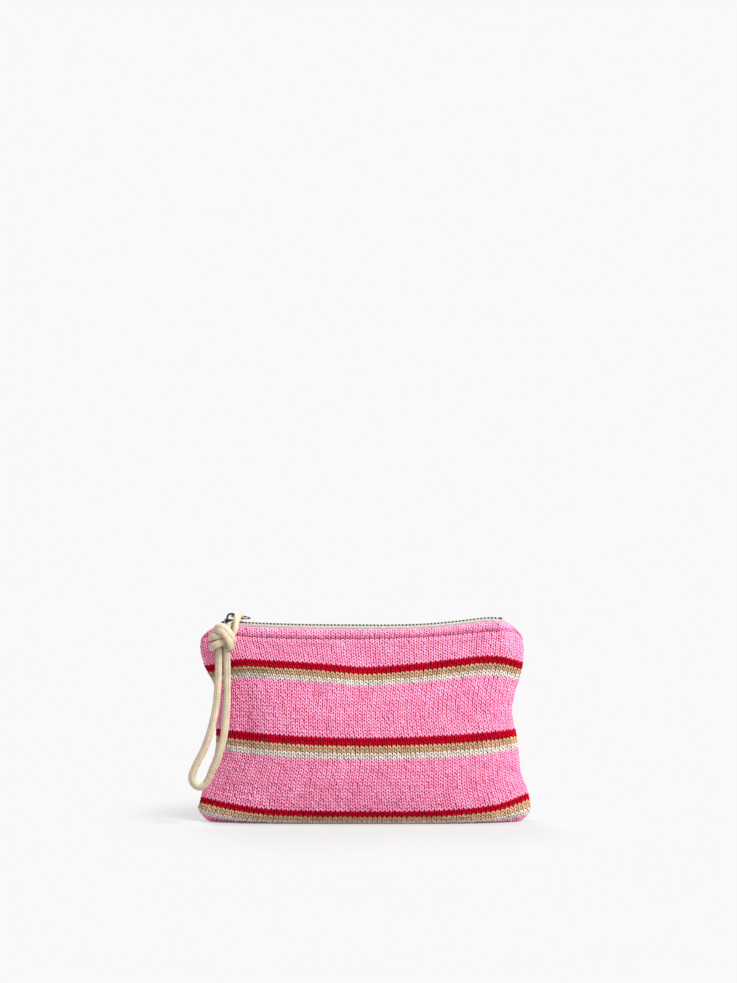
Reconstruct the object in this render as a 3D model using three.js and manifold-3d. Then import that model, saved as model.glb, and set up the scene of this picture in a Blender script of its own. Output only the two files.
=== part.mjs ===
// A knitted, lightly stuffed zip pouch with a wrist strap knotted to the zip's pull loop.
// Millimetres. X runs to the right along the zip, -Y is the front, Z is up, and the floor is Z = 0.
import * as THREE from "three";
import { mergeVertices } from "three/addons/utils/BufferGeometryUtils.js";
import Module from "manifold-3d";

const wasm = await Module();
wasm.setup();

// Driving sizes of the knitted body
const bodyHalfWidth = 120.3;
const baseHalfDepth = 13.3;
const bellyHalfDepth = 24.3;
const lowerCornerRadius = 11;
const upperLeftCornerRadius = 9;
const upperRightCornerRadius = 14;
const knitThickness = 2.2;
const liningThickness = 0.8;

// Driving sizes of the zip, which sags in a shallow arc between its ends
const zipArcRadius = 1161;
const zipLowPointX = -24.3;
const zipLowPointHeight = 142.2;
const mouthInset = 34.3;
const sliderEndLength = 16.2;
const stopEndLength = 11.5;
const toothPitch = 2.6;
const toothThickness = 2.7;
const toothReach = 2.9;
const headOverlap = 0.8;
const headWidth = 1.1;
const neckWidth = 0.75;
const legWidth = 1.5;
const cordWidth = 1;
const cordHeight = 0.9;
const tapeThickness = 0.7;
const tapeHalfSpan = 6.4;
const tapeShown = 3.2;
const bandHeight = 5.5;
const bandBulge = 0.6;
const grooveDepth = 0.9;

// Driving sizes of the slider and its pull loop
const sliderFromChainStart = 4.8;
const sliderNoseLength = 5;
const sliderTailLength = 3.6;
const plateThickness = 1;
const flangeWall = 0.5;
const slotHeight = 1.5;
const wedgeNoseHalfWidth = 0.8;
const bridgeWidth = 2.4;
const bridgeWall = 1.1;
const bridgeHalfLength = 3.6;
const bridgeHeight = 4.6;
const pullWire = 1.4;
const pullLength = 13.2;
const pullWidth = 8.4;
const pullFromSlider = 0.6;
const pullHingeAboveChain = 5.2;
const pullDroop = 0.065;

// Driving sizes of the strap
const strapDiameter = 5.4;
const bightThickness = 2.3;
const knotHalfWidth = 9.7;
const knotHalfDepth = 6.2;
const knotHalfHeight = 10.3;

// Clearances
const layerGap = 0.3;
const bightSlack = 0.5;
const seamGap = 0.3;
const chainClearance = 0.4;

// Grid counts of the soft solids
const halfColumns = 10;
const bodyRows = 12;

// The half depth where the knit meets the tape follows from the layers inside it
const bandHalfDepth = tapeHalfSpan + tapeThickness / 2 + layerGap + knitThickness;
const tapeOffset = knitThickness + layerGap + tapeThickness / 2;
const liningOffset = knitThickness + layerGap;

// The moving part of the mouth, and the chain that runs on past both its ends
const mouthHalfLength = bodyHalfWidth - mouthInset;
const chainStartX = -(mouthHalfLength + sliderEndLength);
const chainEndX = mouthHalfLength + stopEndLength;
const sliderX = chainStartX + sliderFromChainStart;
const pullHingeX = sliderX + pullFromSlider;

// How far the side edges draw in from the lower corners, against the share of the height
const leftInset = [
  [0, 0], [0.1, 2.4], [0.22, 6.6], [0.33, 11.6], [0.46, 12.3],
  [0.72, 11.2], [0.86, 3.6], [0.95, 1.1], [1, 2.3],
];
const rightInset = [
  [0, 0], [0.1, 1.3], [0.2, 6.1], [0.33, 7.9], [0.42, 9.3],
  [0.57, 12.8], [0.68, 10.7], [0.8, 6.1], [0.93, 4.4], [1, 6.3],
];

// The pouch's half depth up its middle, against the share of the height
const depthProfile = [
  [0, baseHalfDepth],
  [0.06, THREE.MathUtils.lerp(baseHalfDepth, bellyHalfDepth, 0.6)],
  [0.25, bellyHalfDepth],
  [0.55, THREE.MathUtils.lerp(bellyHalfDepth, bandHalfDepth, 0.18)],
  [0.85, THREE.MathUtils.lerp(bellyHalfDepth, bandHalfDepth, 0.8)],
  [1, bandHalfDepth],
];

// Small helpers

// A smooth curve through pairs of place and size, read at a place
function through(pairs, place) {
  const last = pairs.length - 1;
  let k = 0;
  while (k < last - 1 && place > pairs[k + 1][0]) k += 1;
  const slope = (i) => {
    const before = pairs[Math.max(0, i - 1)];
    const after = pairs[Math.min(last, i + 1)];
    return (after[1] - before[1]) / (after[0] - before[0]);
  };
  const span = pairs[k + 1][0] - pairs[k][0];
  const t = (place - pairs[k][0]) / span;
  const rise = 3 * t * t - 2 * t * t * t;
  const leave = t * (1 - t) * (1 - t) * span * slope(k);
  const arrive = t * t * (t - 1) * span * slope(k + 1);
  return pairs[k][1] * (1 - rise) + pairs[k + 1][1] * rise + leave + arrive;
}

// How far a round corner of this radius has dropped, this far from the middle of a side
function cornerDrop(fromMiddle, halfLength, radius) {
  const past = Math.min(radius, Math.max(0, fromMiddle - (halfLength - radius)));
  return radius - Math.sqrt(radius * radius - past * past);
}

function zipHeight(x) {
  const across = x - zipLowPointX;
  const drop = zipArcRadius - Math.sqrt(zipArcRadius * zipArcRadius - across * across);
  return zipLowPointHeight + drop;
}

// Turn a list of corner points and triangles into a closed geometry that faces out
function closedGeometry(points, triangles) {
  let volume = 0;
  for (const [a, b, c] of triangles) {
    volume += points[a].dot(new THREE.Vector3().crossVectors(points[b], points[c]));
  }
  const order = volume < 0 ? triangles.map(([a, b, c]) => [a, c, b]) : triangles;
  const geometry = new THREE.BufferGeometry();
  geometry.setAttribute("position", new THREE.Float32BufferAttribute(points.flatMap((p) => p.toArray()), 3));
  geometry.setIndex(order.flat());
  return geometry;
}

// A closed sheet between an outer and an inner surface, each a function of a column and a row
function sheetBetween(outer, inner, columns, rows) {
  const points = [];
  for (const surface of [outer, inner]) {
    for (const row of rows) {
      for (const column of columns) points.push(surface(column, row));
    }
  }
  const wide = columns.length;
  const high = rows.length;
  const at = (layer, i, j) => layer * wide * high + j * wide + i;
  const triangles = [];
  const quad = (a, b, c, d) => triangles.push([a, b, c], [a, c, d]);
  for (let j = 0; j + 1 < high; j += 1) {
    for (let i = 0; i + 1 < wide; i += 1) {
      quad(at(0, i, j), at(0, i + 1, j), at(0, i + 1, j + 1), at(0, i, j + 1));
      quad(at(1, i, j), at(1, i, j + 1), at(1, i + 1, j + 1), at(1, i + 1, j));
    }
  }
  for (let i = 0; i + 1 < wide; i += 1) {
    quad(at(0, i, 0), at(1, i, 0), at(1, i + 1, 0), at(0, i + 1, 0));
    quad(at(0, i, high - 1), at(0, i + 1, high - 1), at(1, i + 1, high - 1), at(1, i, high - 1));
  }
  for (let j = 0; j + 1 < high; j += 1) {
    quad(at(0, 0, j), at(0, 0, j + 1), at(1, 0, j + 1), at(1, 0, j));
    quad(at(0, wide - 1, j), at(1, wide - 1, j), at(1, wide - 1, j + 1), at(0, wide - 1, j + 1));
  }
  return closedGeometry(points, triangles);
}

function toSolid(geometry) {
  const bare = geometry.clone();
  bare.deleteAttribute("normal");
  bare.deleteAttribute("uv");
  const merged = mergeVertices(bare, 0.0001);
  return new wasm.Manifold(new wasm.Mesh({
    numProp: 3,
    vertProperties: new Float32Array(merged.attributes.position.array),
    triVerts: new Uint32Array(merged.index.array),
  }));
}

function toGeometry(solid) {
  const mesh = solid.getMesh();
  const geometry = new THREE.BufferGeometry();
  geometry.setAttribute("position", new THREE.BufferAttribute(mesh.vertProperties, 3));
  geometry.setIndex(new THREE.BufferAttribute(mesh.triVerts, 1));
  return geometry;
}

function joined(geometries) {
  return toGeometry(geometries.map(toSolid).reduce((whole, piece) => whole.add(piece)));
}

function cutFrom(geometry, cutters) {
  return toGeometry(cutters.map(toSolid).reduce((whole, piece) => whole.subtract(piece), toSolid(geometry)));
}

function boxBetween(low, high) {
  const size = high.map((value, axis) => value - low[axis]);
  const middle = high.map((value, axis) => (value + low[axis]) / 2);
  return new THREE.BoxGeometry(...size).translate(...middle);
}

// A tube along points, of round or flattened section
function tubeAlong(points, width, thickness, sides, steps) {
  const section = new THREE.Shape();
  for (let k = 0; k < sides; k += 1) {
    const turn = ((k + 0.5) / sides) * 2 * Math.PI;
    const x = (Math.cos(turn) * thickness) / 2;
    const y = (Math.sin(turn) * width) / 2;
    if (k === 0) section.moveTo(x, y);
    else section.lineTo(x, y);
  }
  const path = new THREE.CatmullRomCurve3(points.map((p) => new THREE.Vector3(...p)), false, "centripetal");
  return new THREE.ExtrudeGeometry(section, { steps, extrudePath: path, bevelEnabled: false });
}

// The body's shape: a point at a share across, a share up and a depth below the outside
function sideHalfWidth(across, up) {
  return bodyHalfWidth - through(across < 0 ? leftInset : rightInset, up);
}

function lowerEdge(across) {
  return cornerDrop(Math.abs(across) * bodyHalfWidth, bodyHalfWidth, lowerCornerRadius);
}

function upperEdge(across) {
  const halfWidth = sideHalfWidth(across, 1);
  const radius = across < 0 ? upperLeftCornerRadius : upperRightCornerRadius;
  const drop = cornerDrop(Math.abs(across) * halfWidth, halfWidth, radius);
  return zipHeight(across * halfWidth) - tapeShown - drop;
}

// The plan of the pouch is a lens at the belly, fuller at the base and squarer at the band
function fullness(across, up) {
  const nearTop = THREE.MathUtils.smoothstep(up, 0.75, 1);
  const nearBase = 1 - THREE.MathUtils.smoothstep(up, 0, 0.2);
  const squareness = 2.6 + 21.4 * nearTop + 1.4 * nearBase;
  const roundness = 0.62 - 0.12 * nearTop;
  return Math.pow(Math.max(0, 1 - Math.pow(Math.abs(across), squareness)), roundness);
}

function bodyPoint(side, across, up, below) {
  const x = across * (sideHalfWidth(across, up) - below);
  const y = side * (seamGap / 2 + (through(depthProfile, up) - below) * fullness(across, up));
  const z = THREE.MathUtils.lerp(lowerEdge(across), upperEdge(across), up);
  return new THREE.Vector3(x, y, z);
}

const columnShares = [];
for (let i = -halfColumns; i <= halfColumns; i += 1) {
  columnShares.push(Math.sin((Math.PI / 2) * (i / halfColumns)));
}
const rowShares = [];
for (let j = 0; j <= bodyRows; j += 1) {
  rowShares.push((1 - Math.cos((Math.PI * j) / bodyRows)) / 2);
}
const tapeRows = rowShares.slice(-3);

function columnsWithin(low, high) {
  const edge = 0.01;
  return [low, ...columnShares.filter((u) => u > low + edge && u < high - edge), high];
}

// The knit's outside: a turned band along the mouth, rounded over, with a sewn groove under it
const grooveShare = 1 - bandHeight / zipLowPointHeight;
const bandRows = [
  { up: grooveShare - 0.012, proud: 0 },
  { up: grooveShare, proud: -grooveDepth },
  { up: (1 + 2 * grooveShare) / 3, proud: bandBulge },
  { up: (2 + grooveShare) / 3, proud: bandBulge },
  { up: 1, proud: -grooveDepth / 2 },
];
const knitRows = [
  ...rowShares.filter((v) => v < grooveShare - 0.015).map((v) => ({ up: v, proud: 0 })),
  ...bandRows,
];

function knitPanel(side) {
  const outer = (u, row) => bodyPoint(side, u, row.up, -row.proud);
  const inner = (u, row) => bodyPoint(side, u, row.up, knitThickness);
  return sheetBetween(outer, inner, columnShares, knitRows);
}

// The lining stops just under the tape's lower edge and just over the base
function liningPanel(side) {
  const height = upperEdge(0) - lowerEdge(0);
  const lowest = (knitThickness + layerGap) / height;
  const highest = tapeRows[0] - layerGap / height;
  const rows = [lowest, ...rowShares.filter((v) => v > lowest + 0.01 && v < highest), highest];
  const outer = (u, v) => bodyPoint(side, u, v, liningOffset);
  const inner = (u, v) => bodyPoint(side, u, v, liningOffset + liningThickness);
  return sheetBetween(outer, inner, columnShares, rows);
}

// A flat base between the two lower edges, turned up at its ends with the corners
function basePanel(thickness, raise, below) {
  const reach = 0.97;
  const columns = columnsWithin(-reach, reach);
  const atHeight = raise / (upperEdge(0) - lowerEdge(0));
  const surface = (lift) => (u, v) => {
    const edge = bodyPoint(1, u, atHeight, below + layerGap);
    return new THREE.Vector3(edge.x, edge.y * v, lowerEdge(u) + raise + lift);
  };
  return sheetBetween(surface(0), surface(thickness), columns, [-1, -0.5, 0, 0.5, 1]);
}

// How far each row of teeth is spread from the closed chain inside the slider
function spread(x) {
  const nose = sliderX - sliderNoseLength;
  const tail = sliderX + sliderTailLength;
  const closed = headOverlap + wedgeNoseHalfWidth + layerGap;
  return closed * (1 - THREE.MathUtils.smoothstep(x, nose - 0.5, tail));
}

// One half of the tape: flat beside the teeth, folded down, then inside the knit
function tapePanel(side, low, high) {
  const inside = toothReach + layerGap;
  const fold = [
    [tapeHalfSpan, -1.1], [tapeHalfSpan - 0.32, -0.32], [tapeHalfSpan - 1.1, 0], [inside, 0],
  ];
  const normals = [[1, 0], [Math.SQRT1_2, Math.SQRT1_2], [0, 1], [0, 1]];
  const rows = [...tapeRows.map((v) => ({ up: v })), ...fold.map((_, k) => ({ fold: k }))];
  const surface = (offset) => (u, row) => {
    if (row.up !== undefined) return bodyPoint(side, u, row.up, tapeOffset + offset);
    const x = u * (sideHalfWidth(u, 1) - tapeOffset - offset);
    const narrowing = fullness(u, 1);
    const [out, up] = fold[row.fold];
    const [outward, upward] = normals[row.fold];
    const parting = row.fold === 3 ? spread(x) : 0;
    const y = seamGap / 2 + (out + parting - outward * offset) * narrowing;
    const drop = cornerDrop(Math.abs(u) * sideHalfWidth(u, 1), sideHalfWidth(u, 1), cornerRadiusAt(u));
    return new THREE.Vector3(x, side * y, zipHeight(u * sideHalfWidth(u, 1)) - drop + up - upward * offset);
  };
  const half = tapeThickness / 2;
  return sheetBetween(surface(-half), surface(half), columnsWithin(low, high), rows);
}

function cornerRadiusAt(across) {
  return across < 0 ? upperLeftCornerRadius : upperRightCornerRadius;
}

// The chain: metal teeth clamped on a cord, one row on each tape, heads hooked past each other
function toothOutline() {
  const outline = new THREE.Shape();
  outline.moveTo(-legWidth / 2, -toothReach);
  outline.lineTo(legWidth / 2, -toothReach);
  outline.lineTo(neckWidth / 2, -headOverlap);
  outline.lineTo(headWidth / 2, headOverlap);
  outline.lineTo(-headWidth / 2, headOverlap);
  outline.lineTo(-neckWidth / 2, -headOverlap);
  return outline;
}

function toothPlaces(side) {
  const first = Math.ceil(chainStartX / toothPitch);
  const places = [];
  for (let k = first; k * toothPitch < chainEndX; k += 1) {
    places.push(k * toothPitch + (side * toothPitch) / 4);
  }
  return places.filter((x) => x > chainStartX + legWidth / 2 && x < chainEndX - legWidth / 2);
}

// Bend a straight row along the zip's arc, and spread it inside the slider
function laidAlongZip(geometry, side) {
  const place = geometry.attributes.position;
  for (let k = 0; k < place.count; k += 1) {
    const x = place.getX(k);
    place.setY(k, side * (spread(x) - place.getY(k)));
    place.setZ(k, place.getZ(k) + zipHeight(x));
  }
  const points = [];
  for (let k = 0; k < place.count; k += 1) {
    points.push(new THREE.Vector3().fromBufferAttribute(place, k));
  }
  const triangles = [];
  for (let k = 0; k < geometry.index.count; k += 3) {
    triangles.push([geometry.index.getX(k), geometry.index.getX(k + 1), geometry.index.getX(k + 2)]);
  }
  return closedGeometry(points, triangles);
}

function teethRow(side, low, high) {
  const places = toothPlaces(side).filter((x) => x > low && x < high);
  const pieces = places.map((x) => {
    const tooth = new THREE.ExtrudeGeometry(toothOutline(), { depth: toothThickness, bevelEnabled: false });
    return tooth.translate(x, 0, -toothThickness / 2);
  });
  const halfGap = toothPitch / 2 - layerGap / 2;
  const outside = -toothReach + 0.15;
  pieces.unshift(boxBetween(
    [places[0] - halfGap, outside, -cordHeight / 2],
    [places[places.length - 1] + halfGap, outside + cordWidth, cordHeight / 2],
  ));
  return laidAlongZip(joined(pieces), side);
}

// Small metal stops at the two ends of the chain
function topStop(side) {
  const length = 2.2;
  const out = spread(chainStartX);
  const low = [chainStartX - 0.3 - length, 0, zipHeight(chainStartX) - toothThickness / 2];
  const high = [chainStartX - 0.3, 0, zipHeight(chainStartX) + toothThickness / 2];
  const near = seamGap / 2 + out - headOverlap;
  const far = out + toothReach - 0.6;
  low[1] = side < 0 ? -far : near;
  high[1] = side < 0 ? -near : far;
  return boxBetween(low, high);
}

function bottomStop() {
  const length = 2.8;
  const x = chainEndX + 0.3;
  const z = zipHeight(x);
  const reach = toothReach - 0.5;
  return boxBetween([x, -reach, z - toothThickness / 2], [x + length, reach, z + toothThickness / 2]);
}

// The slider, drawn about its own middle and then set on the chain
const cavityHalfHeight = toothThickness / 2 + chainClearance;

function sliderHalfWidth(t, wall) {
  return toothReach + spread(sliderX + t) + chainClearance + wall;
}

function sliderPlan() {
  const steps = 8;
  const front = [];
  for (let k = 0; k <= steps; k += 1) {
    const t = THREE.MathUtils.lerp(-sliderNoseLength, sliderTailLength, k / steps);
    front.push(new THREE.Vector2(t, sliderHalfWidth(t, flangeWall)));
  }
  const notch = new THREE.Vector2(-sliderNoseLength + 1.2, 0);
  const back = [...front].reverse().map((p) => new THREE.Vector2(p.x, -p.y));
  return new THREE.Shape([...front, ...back, notch]);
}

function flangePlan(side) {
  const steps = 6;
  const outer = [];
  const inner = [];
  for (let k = 0; k <= steps; k += 1) {
    const t = THREE.MathUtils.lerp(-sliderNoseLength + 0.4, sliderTailLength - 0.2, k / steps);
    outer.push(new THREE.Vector2(t, side * sliderHalfWidth(t, flangeWall)));
    inner.push(new THREE.Vector2(t, side * sliderHalfWidth(t, 0)));
  }
  return new THREE.Shape([...outer, ...inner.reverse()]);
}

function raised(shape, low, high) {
  return new THREE.ExtrudeGeometry(shape, { depth: high - low, bevelEnabled: false }).translate(0, 0, low);
}

function sliderBody() {
  const roof = cavityHalfHeight + plateThickness;
  const halfSlot = slotHeight / 2;
  const sink = 0.1;
  const topPlate = raised(sliderPlan(), cavityHalfHeight, roof);
  const bottomPlate = raised(sliderPlan(), -roof, -cavityHalfHeight);
  const pieces = [topPlate, bottomPlate];
  for (const side of [-1, 1]) {
    pieces.push(raised(flangePlan(side), halfSlot, cavityHalfHeight + sink));
    pieces.push(raised(flangePlan(side), -cavityHalfHeight - sink, -halfSlot));
  }
  const wedgeStart = -sliderNoseLength + 1.3;
  const wedgeEnd = wedgeStart + 1.9;
  const wedgeHalfWidth = (t) => spread(sliderX + t) - headOverlap - layerGap;
  const wedge = new THREE.Shape([
    new THREE.Vector2(wedgeStart, wedgeHalfWidth(wedgeStart)),
    new THREE.Vector2(wedgeStart, -wedgeHalfWidth(wedgeStart)),
    new THREE.Vector2(wedgeEnd, -wedgeHalfWidth(wedgeEnd)),
    new THREE.Vector2(wedgeEnd, wedgeHalfWidth(wedgeEnd)),
  ]);
  pieces.push(raised(wedge, -cavityHalfHeight - sink, cavityHalfHeight + sink));
  pieces.push(bridge().translate(0, 0, roof - sink));
  const whole = joined(pieces);
  whole.rotateY(-zipSlope(sliderX));
  return whole.translate(sliderX, 0, zipHeight(sliderX));
}

// The arch that holds the pull loop, open from side to side
function bridge() {
  const arch = (halfLength, height) => {
    const points = [];
    const steps = 10;
    for (let k = 0; k <= steps; k += 1) {
      const turn = (k / steps) * Math.PI;
      const x = halfLength * Math.cos(turn);
      points.push(new THREE.Vector2(x, height * Math.pow(Math.sin(turn), 0.6)));
    }
    return points;
  };
  const inner = arch(bridgeHalfLength - bridgeWall, bridgeHeight - bridgeWall);
  const shape = new THREE.Shape([...arch(bridgeHalfLength, bridgeHeight), ...inner.reverse()]);
  const geometry = new THREE.ExtrudeGeometry(shape, { depth: bridgeWidth, bevelEnabled: false });
  return geometry.translate(0, 0, -bridgeWidth / 2).rotateX(Math.PI / 2);
}

function zipSlope(x) {
  return Math.asin((x - zipLowPointX) / zipArcRadius);
}

// The pull loop: one oval of wire whose end bar passes under the bridge, drooping towards the chain
const pullDip = pullDroop - zipSlope(pullHingeX);

function pullLoop() {
  const sides = 6;
  const around = 28;
  const ring = new THREE.TorusGeometry(pullWidth / 2, pullWire / 2, sides, around);
  const place = ring.attributes.position;
  const stretch = (pullLength - pullWidth) / 2;
  for (let k = 0; k < place.count; k += 1) {
    place.setX(k, place.getX(k) + (place.getX(k) > 0 ? stretch : -stretch));
  }
  ring.translate(pullLength / 2, 0, 0).rotateY(pullDip);
  return ring.translate(pullHingeX, 0, pullHingeHeight());
}

function pullHingeHeight() {
  return zipHeight(pullHingeX) + pullHingeAboveChain;
}

// The strap: a bight over the pull loop's near wire, a doubled knot and a long hanging loop
const bightX = sliderX + sliderTailLength + layerGap + strapDiameter / 2;
const wireY = -pullWidth / 2;
const wireZ = pullHingeHeight() - (bightX - pullHingeX) * Math.tan(pullDip);
const knotX = bightX - 11.3;
const knotStandOff = 2.4;
const knotY = -(bandHalfDepth + knotStandOff + knotHalfDepth);
const knotZ = wireZ - 13;

function strapBight() {
  const away = pullWire / 2 + bightSlack + bightThickness / 2;
  const around = [];
  for (const degrees of [135, 100, 50, 0, -45, -90]) {
    const turn = THREE.MathUtils.degToRad(degrees);
    around.push([bightX, wireY + away * Math.cos(turn), wireZ + away * Math.sin(turn)]);
  }
  const frontY = knotY + 2.2;
  const over = [
    [bightX - 5.5, frontY - 0.5, knotZ + 3.5],
    [bightX - 1.8, frontY, knotZ + 7],
    [bightX - 0.4, -bandHalfDepth - 2.8, wireZ - 2.4],
    ...around,
    [bightX + 0.4, -bandHalfDepth + 1.9, wireZ - 3.2],
    [bightX + 0.4, -bandHalfDepth - 0.6, wireZ - 5.6],
    [bightX - 0.6, -bandHalfDepth - 3, wireZ - 8.4],
    [bightX - 3.5, frontY + 2.5, knotZ + 2.5],
  ];
  const strand = tubeAlong(over, strapDiameter - 0.6, bightThickness, 6, 34);
  return cutFrom(strand, knotPieces(layerGap));
}

// A ring of cord round the knot, flattened to the knot's plan
function knotWrap(tilt, halfWidth, halfDepth, lift, grown) {
  const radius = strapDiameter / 2;
  const ring = new THREE.TorusGeometry(1, 0.5, 6, 14);
  const place = ring.attributes.position;
  for (let k = 0; k < place.count; k += 1) {
    const around = Math.atan2(place.getY(k), place.getX(k));
    const out = (Math.hypot(place.getX(k), place.getY(k)) - 1) * 2 * (radius + grown);
    const up = place.getZ(k) * 2 * (radius + grown);
    place.setXYZ(
      k,
      Math.cos(around) * (halfWidth - radius + out),
      Math.sin(around) * (halfDepth - radius + out),
      up + lift,
    );
  }
  return ring.rotateY(tilt);
}

// The knot's wraps round its core; grown is the clearance that a cutter adds all round
function knotPieces(grown) {
  const core = new THREE.SphereGeometry(1, 12, 8);
  core.scale(knotHalfWidth - 2 + grown, knotHalfDepth - 0.6 + grown, knotHalfHeight - 1 + grown);
  const pieces = [
    core.rotateY(0.35),
    knotWrap(0.75, knotHalfWidth, knotHalfDepth, strapDiameter / 2 - 0.4, grown),
    knotWrap(0.75, knotHalfWidth, knotHalfDepth, 0.4 - strapDiameter / 2, grown),
    knotWrap(-0.25, knotHalfWidth - 1, knotHalfDepth - 0.4, strapDiameter - knotHalfHeight, grown),
  ];
  return pieces.map((piece) => piece.translate(knotX, knotY, knotZ));
}

// The hanging loop, both ends of which leave the knot side by side
const strapRoute = [
  [-104.8, knotY, knotZ - knotHalfHeight / 2],
  [-105.1, knotY, 118.9],
  [-105.3, knotY, 108.8],
  [-106, knotY, 97.2],
  [-107.1, knotY, 85.6],
  [-109.1, knotY, 75.5],
  [-111.8, knotY, 65.4],
  [-115.5, knotY, 55.2],
  [-119.9, knotY, 46.5],
  [-123.2, knotY, 39.3],
  [-124.5, knotY, 34.2],
  [-123, knotY, 29.9],
  [-119.5, knotY, 27.6],
  [-115.6, knotY, 28.9],
  [-112.9, knotY, 32.4],
  [-110.3, knotY, 37.8],
  [-106.7, knotY, 45.5],
  [-104, knotY, 53.8],
  [-101.5, knotY, 63.9],
  [-100, knotY, 77],
  [-99.3, knotY, 90],
  [-99.2, knotY, 101.6],
  [-99.3, knotY, 113.2],
  [-99.6, knotY, 121.8],
  [-99.9, knotY, knotZ - knotHalfHeight / 2],
];

function strapLoop() {
  return cutFrom(tubeAlong(strapRoute, strapDiameter, strapDiameter, 8, 44), knotPieces(layerGap));
}

// Materials, one for each mesh
const looks = {
  knit: { color: 0xff8fbd, roughness: 0.95, metalness: 0 },
  lining: { color: 0xf3e6ea, roughness: 0.8, metalness: 0 },
  tape: { color: 0xeee8da, roughness: 0.85, metalness: 0 },
  darkMetal: { color: 0x4a4744, roughness: 0.35, metalness: 1 },
  strap: { color: 0xe2d0b0, roughness: 0.7, metalness: 0 },
};

const pouch = new THREE.Group();

function addPiece(name, geometry, look) {
  const mesh = new THREE.Mesh(geometry, new THREE.MeshStandardMaterial(looks[look]));
  mesh.name = name;
  pouch.add(mesh);
}

// The tape and chain are cut where the mouth's moving part starts and ends
const leftCut = -mouthHalfLength / sideHalfWidth(-1, 1);
const rightCut = mouthHalfLength / sideHalfWidth(1, 1);
const cutGap = layerGap / 2 / bodyHalfWidth;
const tapeEnd = columnShares[2 * halfColumns - 2];

addPiece("knit_base", basePanel(knitThickness, 0, knitThickness), "knit");
addPiece("lining_base", basePanel(liningThickness, liningOffset, liningOffset + liningThickness), "lining");
addPiece("slider", sliderBody(), "darkMetal");
addPiece("pull_loop", pullLoop(), "darkMetal");
addPiece("strap_bight", strapBight(), "strap");
addPiece("strap_knot", joined(knotPieces(0)), "strap");
addPiece("strap_loop", strapLoop(), "strap");
addPiece("bottom_stop", bottomStop(), "darkMetal");

for (const [place, side] of [["front", -1], ["back", 1]]) {
  addPiece(`knit_${place}`, knitPanel(side), "knit");
  addPiece(`lining_${place}`, liningPanel(side), "lining");
  addPiece(`tape_${place}`, tapePanel(side, leftCut + cutGap, rightCut - cutGap), "tape");
  addPiece(`tape_${place}_slider_end`, tapePanel(side, -tapeEnd, leftCut - cutGap), "tape");
  addPiece(`tape_${place}_stop_end`, tapePanel(side, rightCut + cutGap, tapeEnd), "tape");
  addPiece(`teeth_${place}`, teethRow(side, -mouthHalfLength, mouthHalfLength), "darkMetal");
  addPiece(`teeth_${place}_slider_end`, teethRow(side, chainStartX, -mouthHalfLength), "darkMetal");
  addPiece(`teeth_${place}_stop_end`, teethRow(side, mouthHalfLength, chainEndX), "darkMetal");
  addPiece(`top_stop_${place}`, topStop(side), "darkMetal");
}

export default pouch;
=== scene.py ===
import math

import bpy
import numpy as np
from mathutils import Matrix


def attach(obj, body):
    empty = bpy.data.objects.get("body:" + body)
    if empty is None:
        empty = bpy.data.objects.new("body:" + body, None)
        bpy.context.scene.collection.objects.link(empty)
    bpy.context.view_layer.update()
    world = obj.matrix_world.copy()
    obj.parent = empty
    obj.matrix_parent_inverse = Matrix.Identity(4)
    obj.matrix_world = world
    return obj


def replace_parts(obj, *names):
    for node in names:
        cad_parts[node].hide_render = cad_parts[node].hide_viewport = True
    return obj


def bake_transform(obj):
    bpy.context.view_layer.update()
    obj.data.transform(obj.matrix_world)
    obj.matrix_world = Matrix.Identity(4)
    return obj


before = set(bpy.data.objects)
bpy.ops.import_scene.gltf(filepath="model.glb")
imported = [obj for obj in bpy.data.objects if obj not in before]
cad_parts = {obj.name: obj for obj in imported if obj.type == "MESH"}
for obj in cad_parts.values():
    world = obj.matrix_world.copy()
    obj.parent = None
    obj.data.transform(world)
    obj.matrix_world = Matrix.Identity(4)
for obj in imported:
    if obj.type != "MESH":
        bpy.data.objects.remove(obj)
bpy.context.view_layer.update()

# Sizes below are in millimetres, and every mesh is scaled to metres when it is made
MM = 0.001


# Camera: a short telephoto lens a little above the pouch, as in the photograph
camera_place = (0.003, -1.694, 0.262)
degrees_below_level = 0.726


def place_camera():
    lens = bpy.data.cameras.new("shop_camera")
    lens.lens = 85
    lens.sensor_width = 36
    camera = bpy.data.objects.new("shop_camera", lens)
    bpy.context.scene.collection.objects.link(camera)
    camera.location = camera_place
    camera.rotation_euler = (math.radians(90 - degrees_below_level), 0, 0)
    bpy.context.scene.camera = camera


place_camera()

# Curves and small sums


def ease(value, low, high):
    """0 below low, 1 above high, and a smooth rise between them."""
    share = np.clip((value - low) / (high - low), 0, 1)
    return share * share * (3 - 2 * share)


def hump(value, middle, width):
    """1 at the middle, fading out to both sides."""
    return np.exp(-(((value - middle) / width) ** 2))


def through(places, sizes, place):
    """A smooth curve through sizes at places, read at place. Sizes may be rows of several curves."""
    places = np.asarray(places, float)
    sizes = np.asarray(sizes, float)
    last = len(places) - 1
    index = np.arange(last + 1)
    after = np.minimum(index + 1, last)
    before = np.maximum(index - 1, 0)
    run = places[after] - places[before]
    many = sizes.ndim == 2
    slope = (sizes[after] - sizes[before]) / (run[:, None] if many else run)
    k = np.clip(np.searchsorted(places, place, side="left") - 1, 0, last - 1)
    span = places[k + 1] - places[k]
    t = (place - places[k]) / span
    if many:
        span = span[:, None]
        t = t[:, None]
    rise = 3 * t**2 - 2 * t**3
    leave = t * (1 - t) ** 2 * span * slope[k]
    arrive = t**2 * (t - 1) * span * slope[k + 1]
    return sizes[k] * (1 - rise) + sizes[k + 1] * rise + leave + arrive


def unit(vectors):
    length = np.linalg.norm(vectors, axis=-1, keepdims=True)
    return vectors / np.maximum(length, 1e-9)


def run_along(path):
    """The length along a path up to each of its points."""
    return np.concatenate([[0], np.cumsum(np.linalg.norm(np.diff(path, axis=0), axis=1))])


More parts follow.
